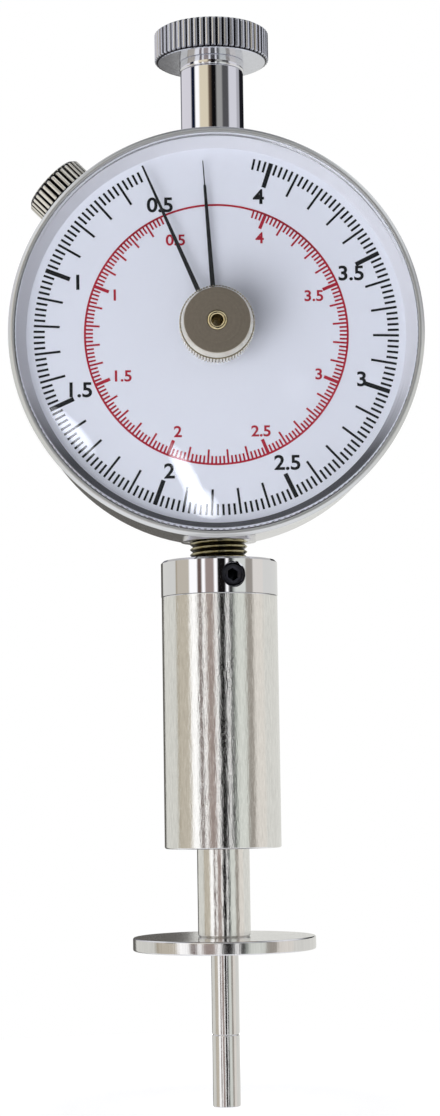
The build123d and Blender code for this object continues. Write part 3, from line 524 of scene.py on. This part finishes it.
def turned(name, body, slot, outline, *, place=Matrix(), closed=False, steps=TURN_STEPS, limit=None,
           replaced=(), sharp_angle=50, made_of=None):
    """A turned piece: the outline of (radius, height, corner radius) in millimetres, spun about its axis and
    then placed. limit(angle, height) is the widest radius left where the piece is knurled or threaded."""
    points = rounded(outline, closed)
    work = bmesh.new()
    rings = []
    for radius, height in points:
        ring = []
        for step in range(1 if radius < 1e-6 else steps):
            angle = 2 * math.pi * step / steps
            reach = min(radius, limit(angle, height)) if limit else radius
            spot = Vector((reach * math.cos(angle), reach * math.sin(angle), height))
            ring.append(work.verts.new(spot * MM))
        rings.append(ring)
    for ring, following in zip(rings, rings[1:] + ([rings[0]] if closed else [])):
        for step in range(steps):
            ahead = (step + 1) % steps
            face = [ring[step % len(ring)], ring[ahead % len(ring)],
                    following[ahead % len(following)], following[step % len(following)]]
            face = list(dict.fromkeys(face))
            if len(face) > 2:
                work.faces.new(face)
    bmesh.ops.remove_doubles(work, verts=work.verts, dist=0.0001 * MM)
    bmesh.ops.recalc_face_normals(work, faces=work.faces)
    mesh = bpy.data.meshes.new(name)
    work.to_mesh(mesh)
    work.free()
    mesh = weighted(mesh, sharp_angle)
    mesh.transform(place)
    return placed(name, mesh, body, slot, made_of, replaced)


def knurled(radius, teeth, depth):
    """Widest radius of a straight knurl at an angle: flat crests with V grooves between."""
    def limit(angle, _height):
        from_crest = 1 - abs((angle * teeth / (2 * math.pi)) % 1 - 0.5) * 2
        return radius - depth * max(0, from_crest - CREST_SHARE) / (1 - CREST_SHARE)
    return limit


CREST_SHARE, TOOTH_STEPS, KNURL_ANGLE, DISH_DEPTH = 0.42, 8, 32, 0.12


def threaded(radius, pitch, depth):
    """Widest radius of a V thread at an angle and a height."""
    def limit(angle, height):
        phase = (height / pitch - angle / (2 * math.pi)) % 1
        return radius - depth * min(1, max(0, 1 - abs(2 * phase - 1) - 0.1) / 0.8)
    return limit


# ---------------------------------------------------------------- rings of repeated marks
def mark_ring_tree():
    """Geometry Nodes tree that stands flat bars on a circle of the dial: marks of a scale."""
    tree = bpy.data.node_groups.new("mark_ring", "GeometryNodeTree")
    tree.interface.new_socket("Geometry", in_out="OUTPUT", socket_type="NodeSocketGeometry")
    for name, kind in (("Count", "Int"), ("Start", "Float"), ("Step", "Float"), ("Inner", "Float"),
                       ("Outer", "Float"), ("Width", "Float"), ("Thickness", "Float"), ("Skip", "Int"),
                       ("Ink", "Material")):
        tree.interface.new_socket(name, in_out="INPUT", socket_type=f"NodeSocket{kind}")
    graph = Graph(tree)
    source = graph.node("NodeGroupInput").socket.node
    given = {socket.name: Wire(graph, socket) for socket in source.outputs if socket.name}
    index = graph.node("GeometryNodeInputIndex")
    angle = index * given["Step"] + given["Start"]
    middle = (given["Inner"] + given["Outer"]) * 0.5
    points = graph.node("GeometryNodePoints", {}, {"Count": given["Count"]})
    place = graph.node("ShaderNodeCombineXYZ", {}, {
        0: -(index.reckon("SINE", angle) * middle), 2: index.reckon("COSINE", angle) * middle})
    stood = graph.node("GeometryNodeSetPosition", {}, {"Geometry": points, "Position": place})
    size = graph.node("ShaderNodeCombineXYZ", {}, {
        0: given["Width"], 1: given["Thickness"], 2: given["Outer"] - given["Inner"]})
    bar = graph.node("GeometryNodeMeshCube", {}, {"Size": size})
    turn = graph.node("ShaderNodeCombineXYZ", {}, {1: -angle})
    kept = index.reckon("GREATER_THAN", index.reckon("MODULO", index, given["Skip"]), 0.5)
    bars = graph.node("GeometryNodeInstanceOnPoints", {}, {
        "Points": stood, "Selection": kept, "Instance": bar, "Rotation": turn})
    real = graph.node("GeometryNodeRealizeInstances", {}, {"Geometry": bars})
    inked = graph.node("GeometryNodeSetMaterial", {}, {"Geometry": real, "Material": given["Ink"]})
    graph.node("NodeGroupOutput", {}, {0: inked})
    return tree


def grown(tree, values):
    """The plain mesh that a Geometry Nodes tree makes with these named inputs."""
    holder = new_holder(bpy.data.meshes.new("grown"))
    modifier = holder.modifiers.new("nodes", "NODES")
    modifier.node_group = tree
    for socket in tree.interface.items_tree:
        if socket.name in values:
            modifier[socket.identifier] = values[socket.name]
    return evaluated(holder)


# ---------------------------------------------------------------- dial
BLACK_SCALE = (23.1, 91.0)
RED_SCALE = (22.8, 89.8)
UNIT_STEP = 0.02
SCALE_FIRST = 0.5
SCALE_LAST = 4.06
NUMBERED_STEP = 0.5
INK_THICKNESS = 0.03 * MM
mark_count = round((SCALE_LAST - SCALE_FIRST) / UNIT_STEP) + 1
mark_tree = mark_ring_tree()


def dial_marks(name, scale, every, skip, inner, outer, width, ink):
    """Marks at every so many small steps of a scale (start angle, degrees a unit), leaving out each that a
    longer mark covers."""
    start, degrees = scale
    count = (mark_count - 1) // every + 1
    mesh = grown(mark_tree, {
        "Count": count, "Start": math.radians(start),
        "Step": math.radians(degrees * UNIT_STEP * every), "Inner": inner * MM, "Outer": outer * MM,
        "Width": width * MM, "Thickness": INK_THICKNESS, "Skip": skip, "Ink": ink})
    mesh.transform(Matrix.Translation((0, DIAL_FACE - INK_THICKNESS / 2, DIAL_HEIGHT)))
    return placed(name, mesh, "bezel", "dial_white", ink)


BLACK_OUTER, BLACK_LONG_INNER = 23.28, 19.97
dial_marks("black_small_marks", BLACK_SCALE, 1, 5, 21.85, BLACK_OUTER, 0.29, black_ink)
dial_marks("black_long_marks", BLACK_SCALE, 5, 5, BLACK_LONG_INNER, BLACK_OUTER, 0.3, black_ink)
dial_marks("black_bold_marks", BLACK_SCALE, 25, 1000, BLACK_LONG_INNER, BLACK_OUTER, 0.56, black_ink)
RED_RING = 16.75
dial_marks("red_small_marks", RED_SCALE, 1, 5, 15.72, RED_RING, 0.24, red_ink)
dial_marks("red_long_marks", RED_SCALE, 5, 5, 14.9, RED_RING, 0.25, red_ink)
dial_marks("red_bold_marks", RED_SCALE, 25, 1000, 14.75, RED_RING, 0.42, red_ink)


def printed_ring(name, inner, outer, ink):
    """A printed circle on the dial."""
    low, high = (DIAL_FACE - INK_THICKNESS) / MM, DIAL_FACE / MM
    turned(name, "bezel", "dial_white", [(inner, low), (outer, low), (outer, high), (inner, high)],
           place=ALONG_Y, closed=True, made_of=ink)


printed_ring("red_circle", RED_RING - 0.13, RED_RING + 0.13, red_ink)


def numeral(text, angle, radius, height, ink, weight):
    """One upright number of the scale, centred at an angle (counter-clockwise from the top) and a radius."""
    curve = bpy.data.curves.new(f"numeral_{text}", "FONT")
    curve.body = text
    curve.align_x = "CENTER"
    curve.align_y = "CENTER"
    curve.size = 1.0
    curve.offset = weight
    curve.extrude = 0.01
    mesh = evaluated(new_holder(curve))
    xs = [vertex.co.x for vertex in mesh.vertices]
    ys = [vertex.co.y for vertex in mesh.vertices]
    middle = Vector(((max(xs) + min(xs)) / 2, (max(ys) + min(ys)) / 2, 0))
    size = height * MM / (max(ys) - min(ys))
    turn = math.radians(angle)
    spot = Vector((-math.sin(turn) * radius * MM, DIAL_FACE - INK_THICKNESS / 2,
                   DIAL_HEIGHT + math.cos(turn) * radius * MM))
    mesh.transform(Matrix.Translation(spot) @ Matrix.Rotation(math.pi / 2, 4, "X")
                   @ Matrix.Diagonal((size * NUMERAL_WIDTH, size, INK_THICKNESS / 0.02, 1))
                   @ Matrix.Translation(-middle))
    mesh.materials.clear()
    mesh.materials.append(ink)
    return mesh


NUMERAL_WIDTH = 1.08


def joined(name, meshes, body, slot, ink):
    work = bmesh.new()
    for mesh in meshes:
        work.from_mesh(mesh)
    bmesh.ops.remove_doubles(work, verts=work.verts, dist=1e-7)
    mesh = bpy.data.meshes.new(name)
    work.to_mesh(mesh)
    work.free()
    return placed(name, mesh, body, slot, ink)


def numerals(name, scale, spots, height, ink, weight):
    """The numbers of a scale; each spot gives a number's radius and how far it stands past its mark."""
    start, degrees = scale
    meshes = []
    for number, (radius, past) in enumerate(spots):
        value = SCALE_FIRST + number * NUMBERED_STEP
        angle = start + number * NUMBERED_STEP * degrees + past
        meshes.append(numeral(f"{value:g}", angle, radius, height, ink, weight))
    joined(name, meshes, "bezel", "dial_white", ink)


BLACK_SPOTS = [(18.25, -0.5), (18.9, 0), (18.7, -2.1), (18.6, 0.9), (18.8, 2.6), (19.35, 1.2), (18.95, -2.2),
               (18.65, 0.8)]
RED_SPOTS = [(13.25, -0.3), (13.9, 0.4), (13.05, 1.3), (13.5, 0.4), (13.7, 1.1), (14.0, 0.3), (13.4, -1.2),
             (13.65, -1.8)]
numerals("black_numerals", BLACK_SCALE, BLACK_SPOTS, 1.95, black_ink, 0.022)
numerals("red_numerals", RED_SCALE, RED_SPOTS, 1.45, red_ink, 0.022)


# ---------------------------------------------------------------- turned pieces
def handle():
    """Polished neck, its ferrule and the knurled knob on top."""
    low, high = (place / MM for place in span_of("handle_sleeve", "z"))
    radius = radius_of("handle_sleeve") / MM
    turned("handle_neck", "case", "chrome",
           [(HANDLE_BORE_R, low), (radius, low), (radius, high, 0.15), (HANDLE_BORE_R, high)],
           closed=True, replaced=["handle_sleeve"])
    low, high = (place / MM for place in span_of("handle_ferrule", "z"))
    radius = radius_of("handle_ferrule") / MM
    turned("neck_ferrule", "case", "chrome",
           [(HANDLE_BORE_R, low), (radius, low, 0.2), (radius, high, 0.1), (HANDLE_BORE_R, high)],
           closed=True, replaced=["handle_ferrule"])
    stud_bottom, top = (place / MM for place in span_of("handle_knob", "z"))
    radius = radius_of("handle_knob") / MM
    turned("knurled_grip", "case", "chrome",
           [(0, stud_bottom), (HANDLE_BORE_R - 0.1, stud_bottom), (HANDLE_BORE_R - 0.1, high),
            (radius - GRIP_DEPTH - GRIP_EDGE, high, 0.05), (radius - GRIP_DEPTH, high + 0.06),
            (radius, high + GRIP_EDGE), (radius, top - GRIP_EDGE), (radius - GRIP_DEPTH, top - 0.06),
            (radius - GRIP_DEPTH - GRIP_EDGE, top, 0.05), (GRIP_DISH_R, top, 0.1),
            (GRIP_DISH_R - 0.3, top - DISH_DEPTH, 0.1), (0, top - DISH_DEPTH)],
           steps=GRIP_TEETH * TOOTH_STEPS, limit=knurled(radius, GRIP_TEETH, GRIP_DEPTH),
           sharp_angle=KNURL_ANGLE, replaced=["handle_knob"], made_of=grip_chrome)


HANDLE_BORE_R = 2.6
GRIP_TEETH, GRIP_DEPTH, GRIP_EDGE, GRIP_DISH_R = 57, 0.4, 0.3, 6.0


def reset_button():
    """Centre knob: knurled rim, smooth cone and satin face, with a rolled tubular rivet."""
    front, back = (place / MM for place in span_of("reset_knob", "y"))
    radius = radius_of("reset_knob") / MM
    rim_front = back - KNOB_RIM_HEIGHT
    cone_r = radius - KNOB_DEPTH
    turned("reset_button", "reset", "knob_nickel",
           [(RIVET_R, front), (KNOB_FACE_R, front, 0.22), (cone_r, rim_front + 0.05),
            (radius, rim_front + 0.12), (radius, back - 0.15), (cone_r - 0.1, back), (RIVET_R, back)],
           place=ALONG_Y, closed=True, steps=KNOB_TEETH * TOOTH_STEPS,
           limit=knurled(radius, KNOB_TEETH, KNOB_DEPTH), sharp_angle=KNURL_ANGLE, replaced=["reset_knob"])
    front, back = (place / MM for place in span_of("knob_rivet", "y"))
    turned("rolled_rivet", "reset", "brass",
           [(RIVET_BORE_R, front + 0.02, 0.2), (RIVET_R - 0.02, front, 0.26), (RIVET_R, back),
            (RIVET_BORE_R, back)],
           place=ALONG_Y, closed=True, replaced=["knob_rivet"])


KNOB_TEETH, KNOB_DEPTH, KNOB_RIM_HEIGHT, KNOB_FACE_R = 72, 0.16, 2.8, 4.15
RIVET_R, RIVET_BORE_R = 1.28, 0.72


def clamp_knob():
    """Knurled screw beside the bezel that locks it."""
    place = Matrix.Translation(clamp_middle) @ Matrix.Rotation(-math.pi / 4, 4, "Y")
    base = radius_of("bezel_ring") / MM + CLAMP_GAP
    top = base + CLAMP_HEIGHT
    turned("clamp_knob", "clamp", "warm_nickel",
           [(0, CLAMP_END), (CLAMP_SHANK_R, CLAMP_END, 0.1), (CLAMP_SHANK_R, base),
            (CLAMP_R - 0.6, base, 0.1), (CLAMP_R, base + 0.3), (CLAMP_R, top - CLAMP_EDGE),
            (CLAMP_R - CLAMP_EDGE, top, 0.12), (1.2, top, 0.1), (0.9, top - DISH_DEPTH, 0.1),
            (0, top - DISH_DEPTH)],
           place=place, steps=CLAMP_TEETH * TOOTH_STEPS, limit=knurled(CLAMP_R, CLAMP_TEETH, CLAMP_DEPTH),
           sharp_angle=KNURL_ANGLE, replaced=["clamp_screw"], made_of=clamp_nickel)


CLAMP_TEETH, CLAMP_DEPTH, CLAMP_HEIGHT, CLAMP_GAP, CLAMP_EDGE = 32, 0.36, 3.0, 0.45, 0.5
CLAMP_SHANK_R, CLAMP_END = 1.25, 24.7


def bezel_and_crystal():
    """Polished bezel rim, the satin cone between crystal and dial, and the moulded crystal."""
    radius = radius_of("bezel_ring") / MM
    front, rear = (place / MM for place in span_of("bezel_ring", "y"))
    opening = radius - LIP_WIDTH
    seat = opening + CRYSTAL_SEAT
    edge_back = span_of("crystal", "y")[1] / MM
    edge_front = edge_back - CRYSTAL_WALL
    dial_front, dial_back = (place / MM for place in span_of("dial_plate", "y"))
    dial_r = radius_of("dial_plate") / MM
    turned("bezel_rim", "bezel", "bezel_satin",
           [(opening, front, 0.1), (opening + LIP_LAND, front, 0.2), (radius, front + LIP_SLOPE, 0.35),
            (radius - RIM_TAPER, BEZEL_BACK, 0.15), (SKIRT_R, BEZEL_BACK), (SKIRT_R, rear),
            (SKIRT_R - SKIRT_WALL, rear), (SKIRT_R - SKIRT_WALL, dial_back), (dial_r + 0.15, dial_back),
            (dial_r + 0.4, dial_front), (opening - 0.1, edge_back + 0.1), (seat, edge_back + 0.1),
            (seat, edge_front), (opening, edge_front)],
           place=ALONG_Y, closed=True, steps=WIDE_STEPS, replaced=["bezel_ring"])
    turned("dial_surround", "bezel", "spacer_grey",
           [(SURROUND_R, dial_front), (opening - 0.35, edge_back + 0.05), (opening - 0.15, edge_back + 0.05),
            (dial_r + 0.35, dial_front)],
           place=ALONG_Y, closed=True, steps=WIDE_STEPS, replaced=["dial_spacer"])
    dome_front = span_of("crystal", "y")[0] / MM
    brow = opening - BROW_GAP
    brow_front = edge_front - BROW_HEIGHT
    outer = dome(brow, brow_front, dome_front)
    inner = dome(opening - 0.3, brow_front + CRYSTAL_WALL, dome_front + CRYSTAL_WALL)
    turned("moulded_crystal", "bezel", "crystal",
           outer + [(brow, brow_front, BROW_ROUND), (brow, edge_front), (seat - 0.05, edge_front),
                    (seat - 0.05, edge_back), (opening - 0.3, edge_back),
                    (opening - 0.3, brow_front + CRYSTAL_WALL)] + inner[::-1],
           place=ALONG_Y, closed=True, replaced=["crystal"])


LIP_WIDTH, LIP_LAND, LIP_SLOPE, RIM_TAPER = 0.8, 0.4, 0.5, 0.75
BEZEL_BACK, SKIRT_R, SKIRT_WALL, SURROUND_R = -5.9, 23.9, 0.8, 24.2
CRYSTAL_WALL, CRYSTAL_SEAT, CRYSTAL_HOLE_R, DOME_STEPS = 1.0, 0.3, 2.2, 12
BROW_HEIGHT, BROW_ROUND, BROW_GAP = 0.72, 0.45, 0.12


def dome(edge_r, edge_height, front):
    """Points of a shallow spherical dome, from the crystal's hole out towards its brow."""
    rise = edge_height - front
    size = (edge_r ** 2 + rise ** 2) / (2 * rise)
    radii = [CRYSTAL_HOLE_R + (edge_r - CRYSTAL_HOLE_R) * step / DOME_STEPS for step in range(DOME_STEPS)]
    return [(radius, front + size - math.sqrt(size ** 2 - radius ** 2)) for radius in radii]


def plunger_end():
    """Press head with its scribed depth mark, and the stop disc."""
    radius = radius_of("press_head") / MM
    disc_low, disc_high = (place / MM for place in span_of("stop_disc", "z"))
    stud_top = span_of("press_head", "z")[1] / MM
    half = MARK_WIDTH / 2
    turned("press_tip", "plunger", "stainless",
           [(0, 0), (radius, 0, 0.14), (radius, MARK_HEIGHT - half), (radius - MARK_DEPTH, MARK_HEIGHT),
            (radius, MARK_HEIGHT + half), (radius, disc_low), (STUD_R, disc_low), (STUD_R, stud_top),
            (0, stud_top)],
           replaced=["press_head"])
    radius = radius_of("stop_disc") / MM
    turned("splash_disc", "plunger", "stainless",
           [(STUD_R + 0.05, disc_low), (radius, disc_low, 0.2), (radius, disc_high, 0.2),
            (STUD_R + 0.05, disc_high)],
           closed=True, steps=WIDE_STEPS, replaced=["stop_disc"])


MARK_WIDTH, MARK_DEPTH, MARK_HEIGHT, STUD_R = 0.26, 0.14, 9.0, 1.2


def barrel_and_thread():
    """Drawn barrel, and the stem thread that shows above the collar."""
    low, high = (place / MM for place in span_of("barrel", "z"))
    radius = radius_of("barrel") / MM
    stem_r = radius_of("threaded_stem") / MM
    turned("drawn_barrel", "case", "warm_nickel",
           [(BARREL_BORE_R, low + 0.4), (BARREL_BORE_R + 0.4, low), (radius, low, 0.25), (radius, high, 0.16),
            (stem_r, high), (stem_r, high - TOP_WALL), (BARREL_BORE_R, high - TOP_WALL)],
           closed=True, replaced=["barrel"])
    stem_low, stem_high = (place / MM for place in span_of("threaded_stem", "z"))
    start, end = span_of("lock_collar", "z")[1] / MM - 0.3, span_of("case_body", "z")[0] / MM + 0.3
    ring_count = round((end - start) / THREAD_PITCH * RINGS_A_PITCH)
    wall = [(stem_r, start + (end - start) * ring / ring_count) for ring in range(ring_count + 1)]
    turned("stem_thread", "case", "thread_nickel",
           [(STEM_BORE_R, stem_low), (stem_r - THREAD_DEPTH, stem_low), (stem_r - THREAD_DEPTH, start)] + wall
           + [(stem_r - THREAD_DEPTH, end), (stem_r - THREAD_DEPTH, stem_high), (STEM_BORE_R, stem_high)],
           closed=True, steps=96, limit=threaded(stem_r, THREAD_PITCH, THREAD_DEPTH), sharp_angle=35,
           replaced=["threaded_stem"])


BARREL_BORE_R, TOP_WALL, STEM_BORE_R = 6.2, 7.4, 3.0
THREAD_PITCH, THREAD_DEPTH, RINGS_A_PITCH = 0.7, 0.36, 12


def pressed_spring():
    """The force spring as a smoothed copy with a mesh of its own; nothing here shortens it as the plunger
    comes up.
    """
    spring = smoothed("force_spring")
    spring_low, spring_high = span_of("force_spring", "z")
    stroke = next(joint["range_m"][1] for joint in frame["joints"] if joint["name"] == "plunger_slide")
    1 - stroke / (spring_high - spring_low)
    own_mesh(spring)


handle()
reset_button()
clamp_knob()
bezel_and_crystal()
plunger_end()
barrel_and_thread()
for node in ("lock_collar", "plunger_rod"):
    smoothed(node)
pressed_spring()
for node in ("case_body", "back_cover", "crystal_bush"):
    smoothed(node, Vector((0, 1, 0)), DIAL_CENTRE)
for node in ("back_cover_screws", "set_screw"):
    smoothed(node, Vector((0, 1, 0)))


# ---------------------------------------------------------------- studio
def rising(lift, start, width):
    """How far a lift, in degrees, is past the start of a soft change."""
    return ((lift - start) / width).clamped()


def studio_world():
    """White to the eye, an even light on plain surfaces, and a studio of strip lights and flags in gloss."""
    world = bpy.data.worlds.new("studio")
    bpy.context.scene.world = world
    world.use_nodes = True
    world.cycles.sampling_method = "NONE"
    graph = Graph(world.node_tree)
    x, y, z = graph.split(graph.node("ShaderNodeTexCoord", output="Generated"))
    turn = x.reckon("ARCTAN2", x, -y) / (2 * math.pi) + 0.5
    degrees = (turn - 0.5) * 360
    lift = z.reckon("ARCSINE", z) * (180 / math.pi)
    low, high = (graph.node("ShaderNodeValToRGB", {"stops": ("LINEAR", bands(table, edge))},
                            {"Fac": turn}, "Color")
                 for table, edge in ((LOW_BANDS, LOW_EDGE), (HIGH_BANDS, HIGH_EDGE)))
    around = graph.mixed(rising(lift, *HIGH_FROM), low, high)
    upper = graph.mixed(rising(lift, *PALE_FROM), around, PALE)
    over = graph.mixed(rising(lift, *CEILING_FROM), upper, CEILING)
    under = graph.mixed(rising(-lift, *UNDER_FROM), over, UNDER)
    seen, glossy, through, mirrored = (graph.node("ShaderNodeLightPath", output=key) for key in (
        "Is Camera Ray", "Is Glossy Ray", "Is Transmission Ray", "Is Singular Ray"))
    lamps = sum(lamp_spot(degrees, lift, *lamp) for lamp in WINDOWS)
    plain = graph.node("ShaderNodeBackground", {}, {
        "Color": (0.95, 0.965, 1.0, 1.0), "Strength": (1.0 - z * AMBIENT_FALL) * AMBIENT})
    gloss = graph.node("ShaderNodeBackground", {}, {"Color": under, "Strength": GLOSS})
    white = graph.node("ShaderNodeBackground", {}, {"Color": (1, 1, 1, 1), "Strength": 1.0})
    dusk = graph.node("ShaderNodeBackground", {}, {"Color": (0.9, 0.93, 1.0, 1.0), "Strength": lamps + DUSK})
    lit = graph.node("ShaderNodeMixShader", {}, {0: glossy * (1 - through), 1: plain, 2: gloss})
    clear = graph.node("ShaderNodeMixShader", {}, {0: mirrored * (1 - through), 1: lit, 2: dusk})
    shown = graph.node("ShaderNodeMixShader", {}, {0: seen, 1: clear, 2: white})
    graph.node("ShaderNodeOutputWorld", {}, {"Surface": shown})


def lamp_spot(degrees, lift, azimuth, height, half_width, half_height, lean, power):
    """A soft-edged oval lamp that the crystal mirrors; lean is its degrees of turn a degree of lift."""
    up = (lift - height) / half_height
    side = (degrees - azimuth - (lift - height) * lean) / half_width
    return ((1.0 - up * up - side * side) * WINDOW_EDGE).clamped() * power


WINDOWS = [(-10.9, 3.1, 0.95, 2.2, -0.8, 12.0), (-1.7, -0.9, 0.95, 3.0, -0.47, 14.0),
           (-0.55, -3.1, 1.5, 1.7, -0.47, 14.0), (7.1, 6.4, 1.5, 1.5, 0, 0.7)]
DUSK, WINDOW_EDGE = 0.08, 1.3
HIGH_FROM, PALE_FROM, CEILING_FROM, UNDER_FROM = (7.0, 5.0), (25.0, 8.0), (48.0, 14.0), (26.0, 14.0)
PALE, CEILING, UNDER = srgb(228, 230, 234), srgb(34, 34, 38), srgb(226, 227, 232)
LOW_EDGE, HIGH_EDGE = 1.8, 4.0
AMBIENT, AMBIENT_FALL = 0.52, 0.85
GLOSS = 1.25
LOW_BANDS = [
    (-180, (90, 88, 84)), (-150, (205, 205, 200)), (-97, (150, 140, 120)), (-93, (185, 178, 165)),
    (-63, (255, 255, 255)), (-45, (100, 85, 80)), (-36, (255, 255, 255)), (-29, (150, 137, 132)),
    (-11.5, (255, 255, 255)), (-4.6, (18, 16, 16)), (11.5, (255, 255, 255)), (17, (60, 60, 60)),
    (25, (150, 155, 150)), (30, (208, 211, 206)), (52, (150, 145, 138)), (68, (215, 211, 205)),
    (95, (208, 208, 204)), (150, (110, 110, 106)),
]
HIGH_BANDS = [
    (-180, (110, 110, 116)), (-150, (208, 206, 212)), (-84, (12, 22, 42)),
    (-67, (255, 255, 255)), (-49, (214, 204, 180)), (-15, (105, 90, 76)), (-4, (14, 14, 16)),
    (14, (150, 150, 148)), (36, (80, 80, 82)), (62, (206, 206, 212)), (100, (170, 170, 176)),
    (118, (24, 24, 28)),
]


def bands(table, edge):
    """Ramp stops that hold each band's colour from its angle to the next, with a soft edge between."""
    stops = []
    for (start, colour), (end, _following) in zip(table, table[1:] + [(180, None)]):
        if len(stops) < RAMP_STOPS:
            stops.append(((start + edge) / 360 + 0.5, srgb(*colour)))
        if end - start > 3 * edge and len(stops) < RAMP_STOPS:
            stops.append(((end - edge / 2) / 360 + 0.5, srgb(*colour)))
    return stops


RAMP_STOPS = 32


def softbox(name, target, azimuth, lift, distance, width, height, power):
    """A rectangular lamp that faces a point from a direction: azimuth from the front, to the right."""
    lamp = bpy.data.lights.new(name, "AREA")
    lamp.shape = "RECTANGLE"
    lamp.size, lamp.size_y = width, height
    lamp.energy = power
    side, rise = math.radians(azimuth), math.radians(lift)
    way = Vector((math.sin(side) * math.cos(rise), -math.cos(side) * math.cos(rise), math.sin(rise)))
    holder = bpy.data.objects.new(name, lamp)
    bpy.context.scene.collection.objects.link(holder)
    holder.location = target + way * distance
    holder.rotation_euler = (-way).to_track_quat("-Z", "Y").to_euler()
    holder.visible_glossy = False


def floor():
    """Pale round floor that stays near white to the eye and keeps the shadow."""
    made, graph = material("floor")
    place = graph.object_place()
    grain = graph.noise(place, 0.2 / MM, 3.0, 0.5)
    tone = graph.mixed(grain, (0.80, 0.80, 0.81, 1), (0.84, 0.84, 0.85, 1))
    seen = graph.node("ShaderNodeLightPath", output="Is Camera Ray")
    glossy = graph.node("ShaderNodeLightPath", output="Is Glossy Ray")
    unseen = graph.node("ShaderNodeBsdfTransparent")
    x, y = graph.split(place)[:2]
    outward = (((x * x + y * y) ** 0.5 - SHADOW_R * MM) / (SHADOW_EDGE * MM)).clamped()
    matte = graph.node("ShaderNodeBsdfDiffuse", {}, {"Color": tone})
    glow = graph.node("ShaderNodeEmission", {}, {
        "Color": (1, 1, 1, 1), "Strength": seen * (outward * OUTER_GLOW + FLOOR_GLOW)})
    solid = graph.node("ShaderNodeAddShader", {}, {0: matte, 1: glow})
    close(graph, graph.node("ShaderNodeMixShader", {}, {0: glossy, 1: solid, 2: unseen}))
    work = bmesh.new()
    bmesh.ops.create_circle(work, cap_ends=True, segments=96, radius=FLOOR_R * MM)
    mesh = bpy.data.meshes.new("floor")
    work.to_mesh(mesh)
    work.free()
    mesh.materials.append(made)
    ground = bpy.data.objects.new("floor", mesh)
    bpy.context.scene.collection.objects.link(ground)


FLOOR_R, SHADOW_R, SHADOW_EDGE, FLOOR_GLOW, OUTER_GLOW = 90, 20, 40, 0.78, 0.25


def camera():
    """Upright view from the front, a little below the dial."""
    view = bpy.data.cameras.new("camera")
    view.lens, view.sensor_width = LENS, SENSOR
    view.clip_start = 0.01
    holder = bpy.data.objects.new("camera", view)
    bpy.context.scene.collection.objects.link(holder)
    forward = Vector((math.sin(YAW) * math.cos(PITCH), math.cos(YAW) * math.cos(PITCH), math.sin(PITCH)))
    right = forward.cross(Vector((0, 0, 1))).normalized()
    up = right.cross(forward)
    rolled_right = right * math.cos(ROLL) + up * math.sin(ROLL)
    rolled_up = up * math.cos(ROLL) - right * math.sin(ROLL)
    turn = Matrix((rolled_right, rolled_up, -forward)).transposed()
    holder.matrix_world = Matrix.Translation(CAMERA_PLACE * MM) @ turn.to_4x4()
    bpy.context.scene.camera = holder


LENS, SENSOR = 75.28, 36
CAMERA_PLACE = Vector((-4.14, -301.76, 40.135))
PITCH, YAW, ROLL = 0.0985, 0.0142, -0.015


bpy.context.scene.view_settings.view_transform = "Standard"
studio_world()
softbox("key", DIAL_CENTRE, azimuth=-24, lift=-22, distance=0.7, width=0.42, height=0.42, power=1.9)
floor()
camera()
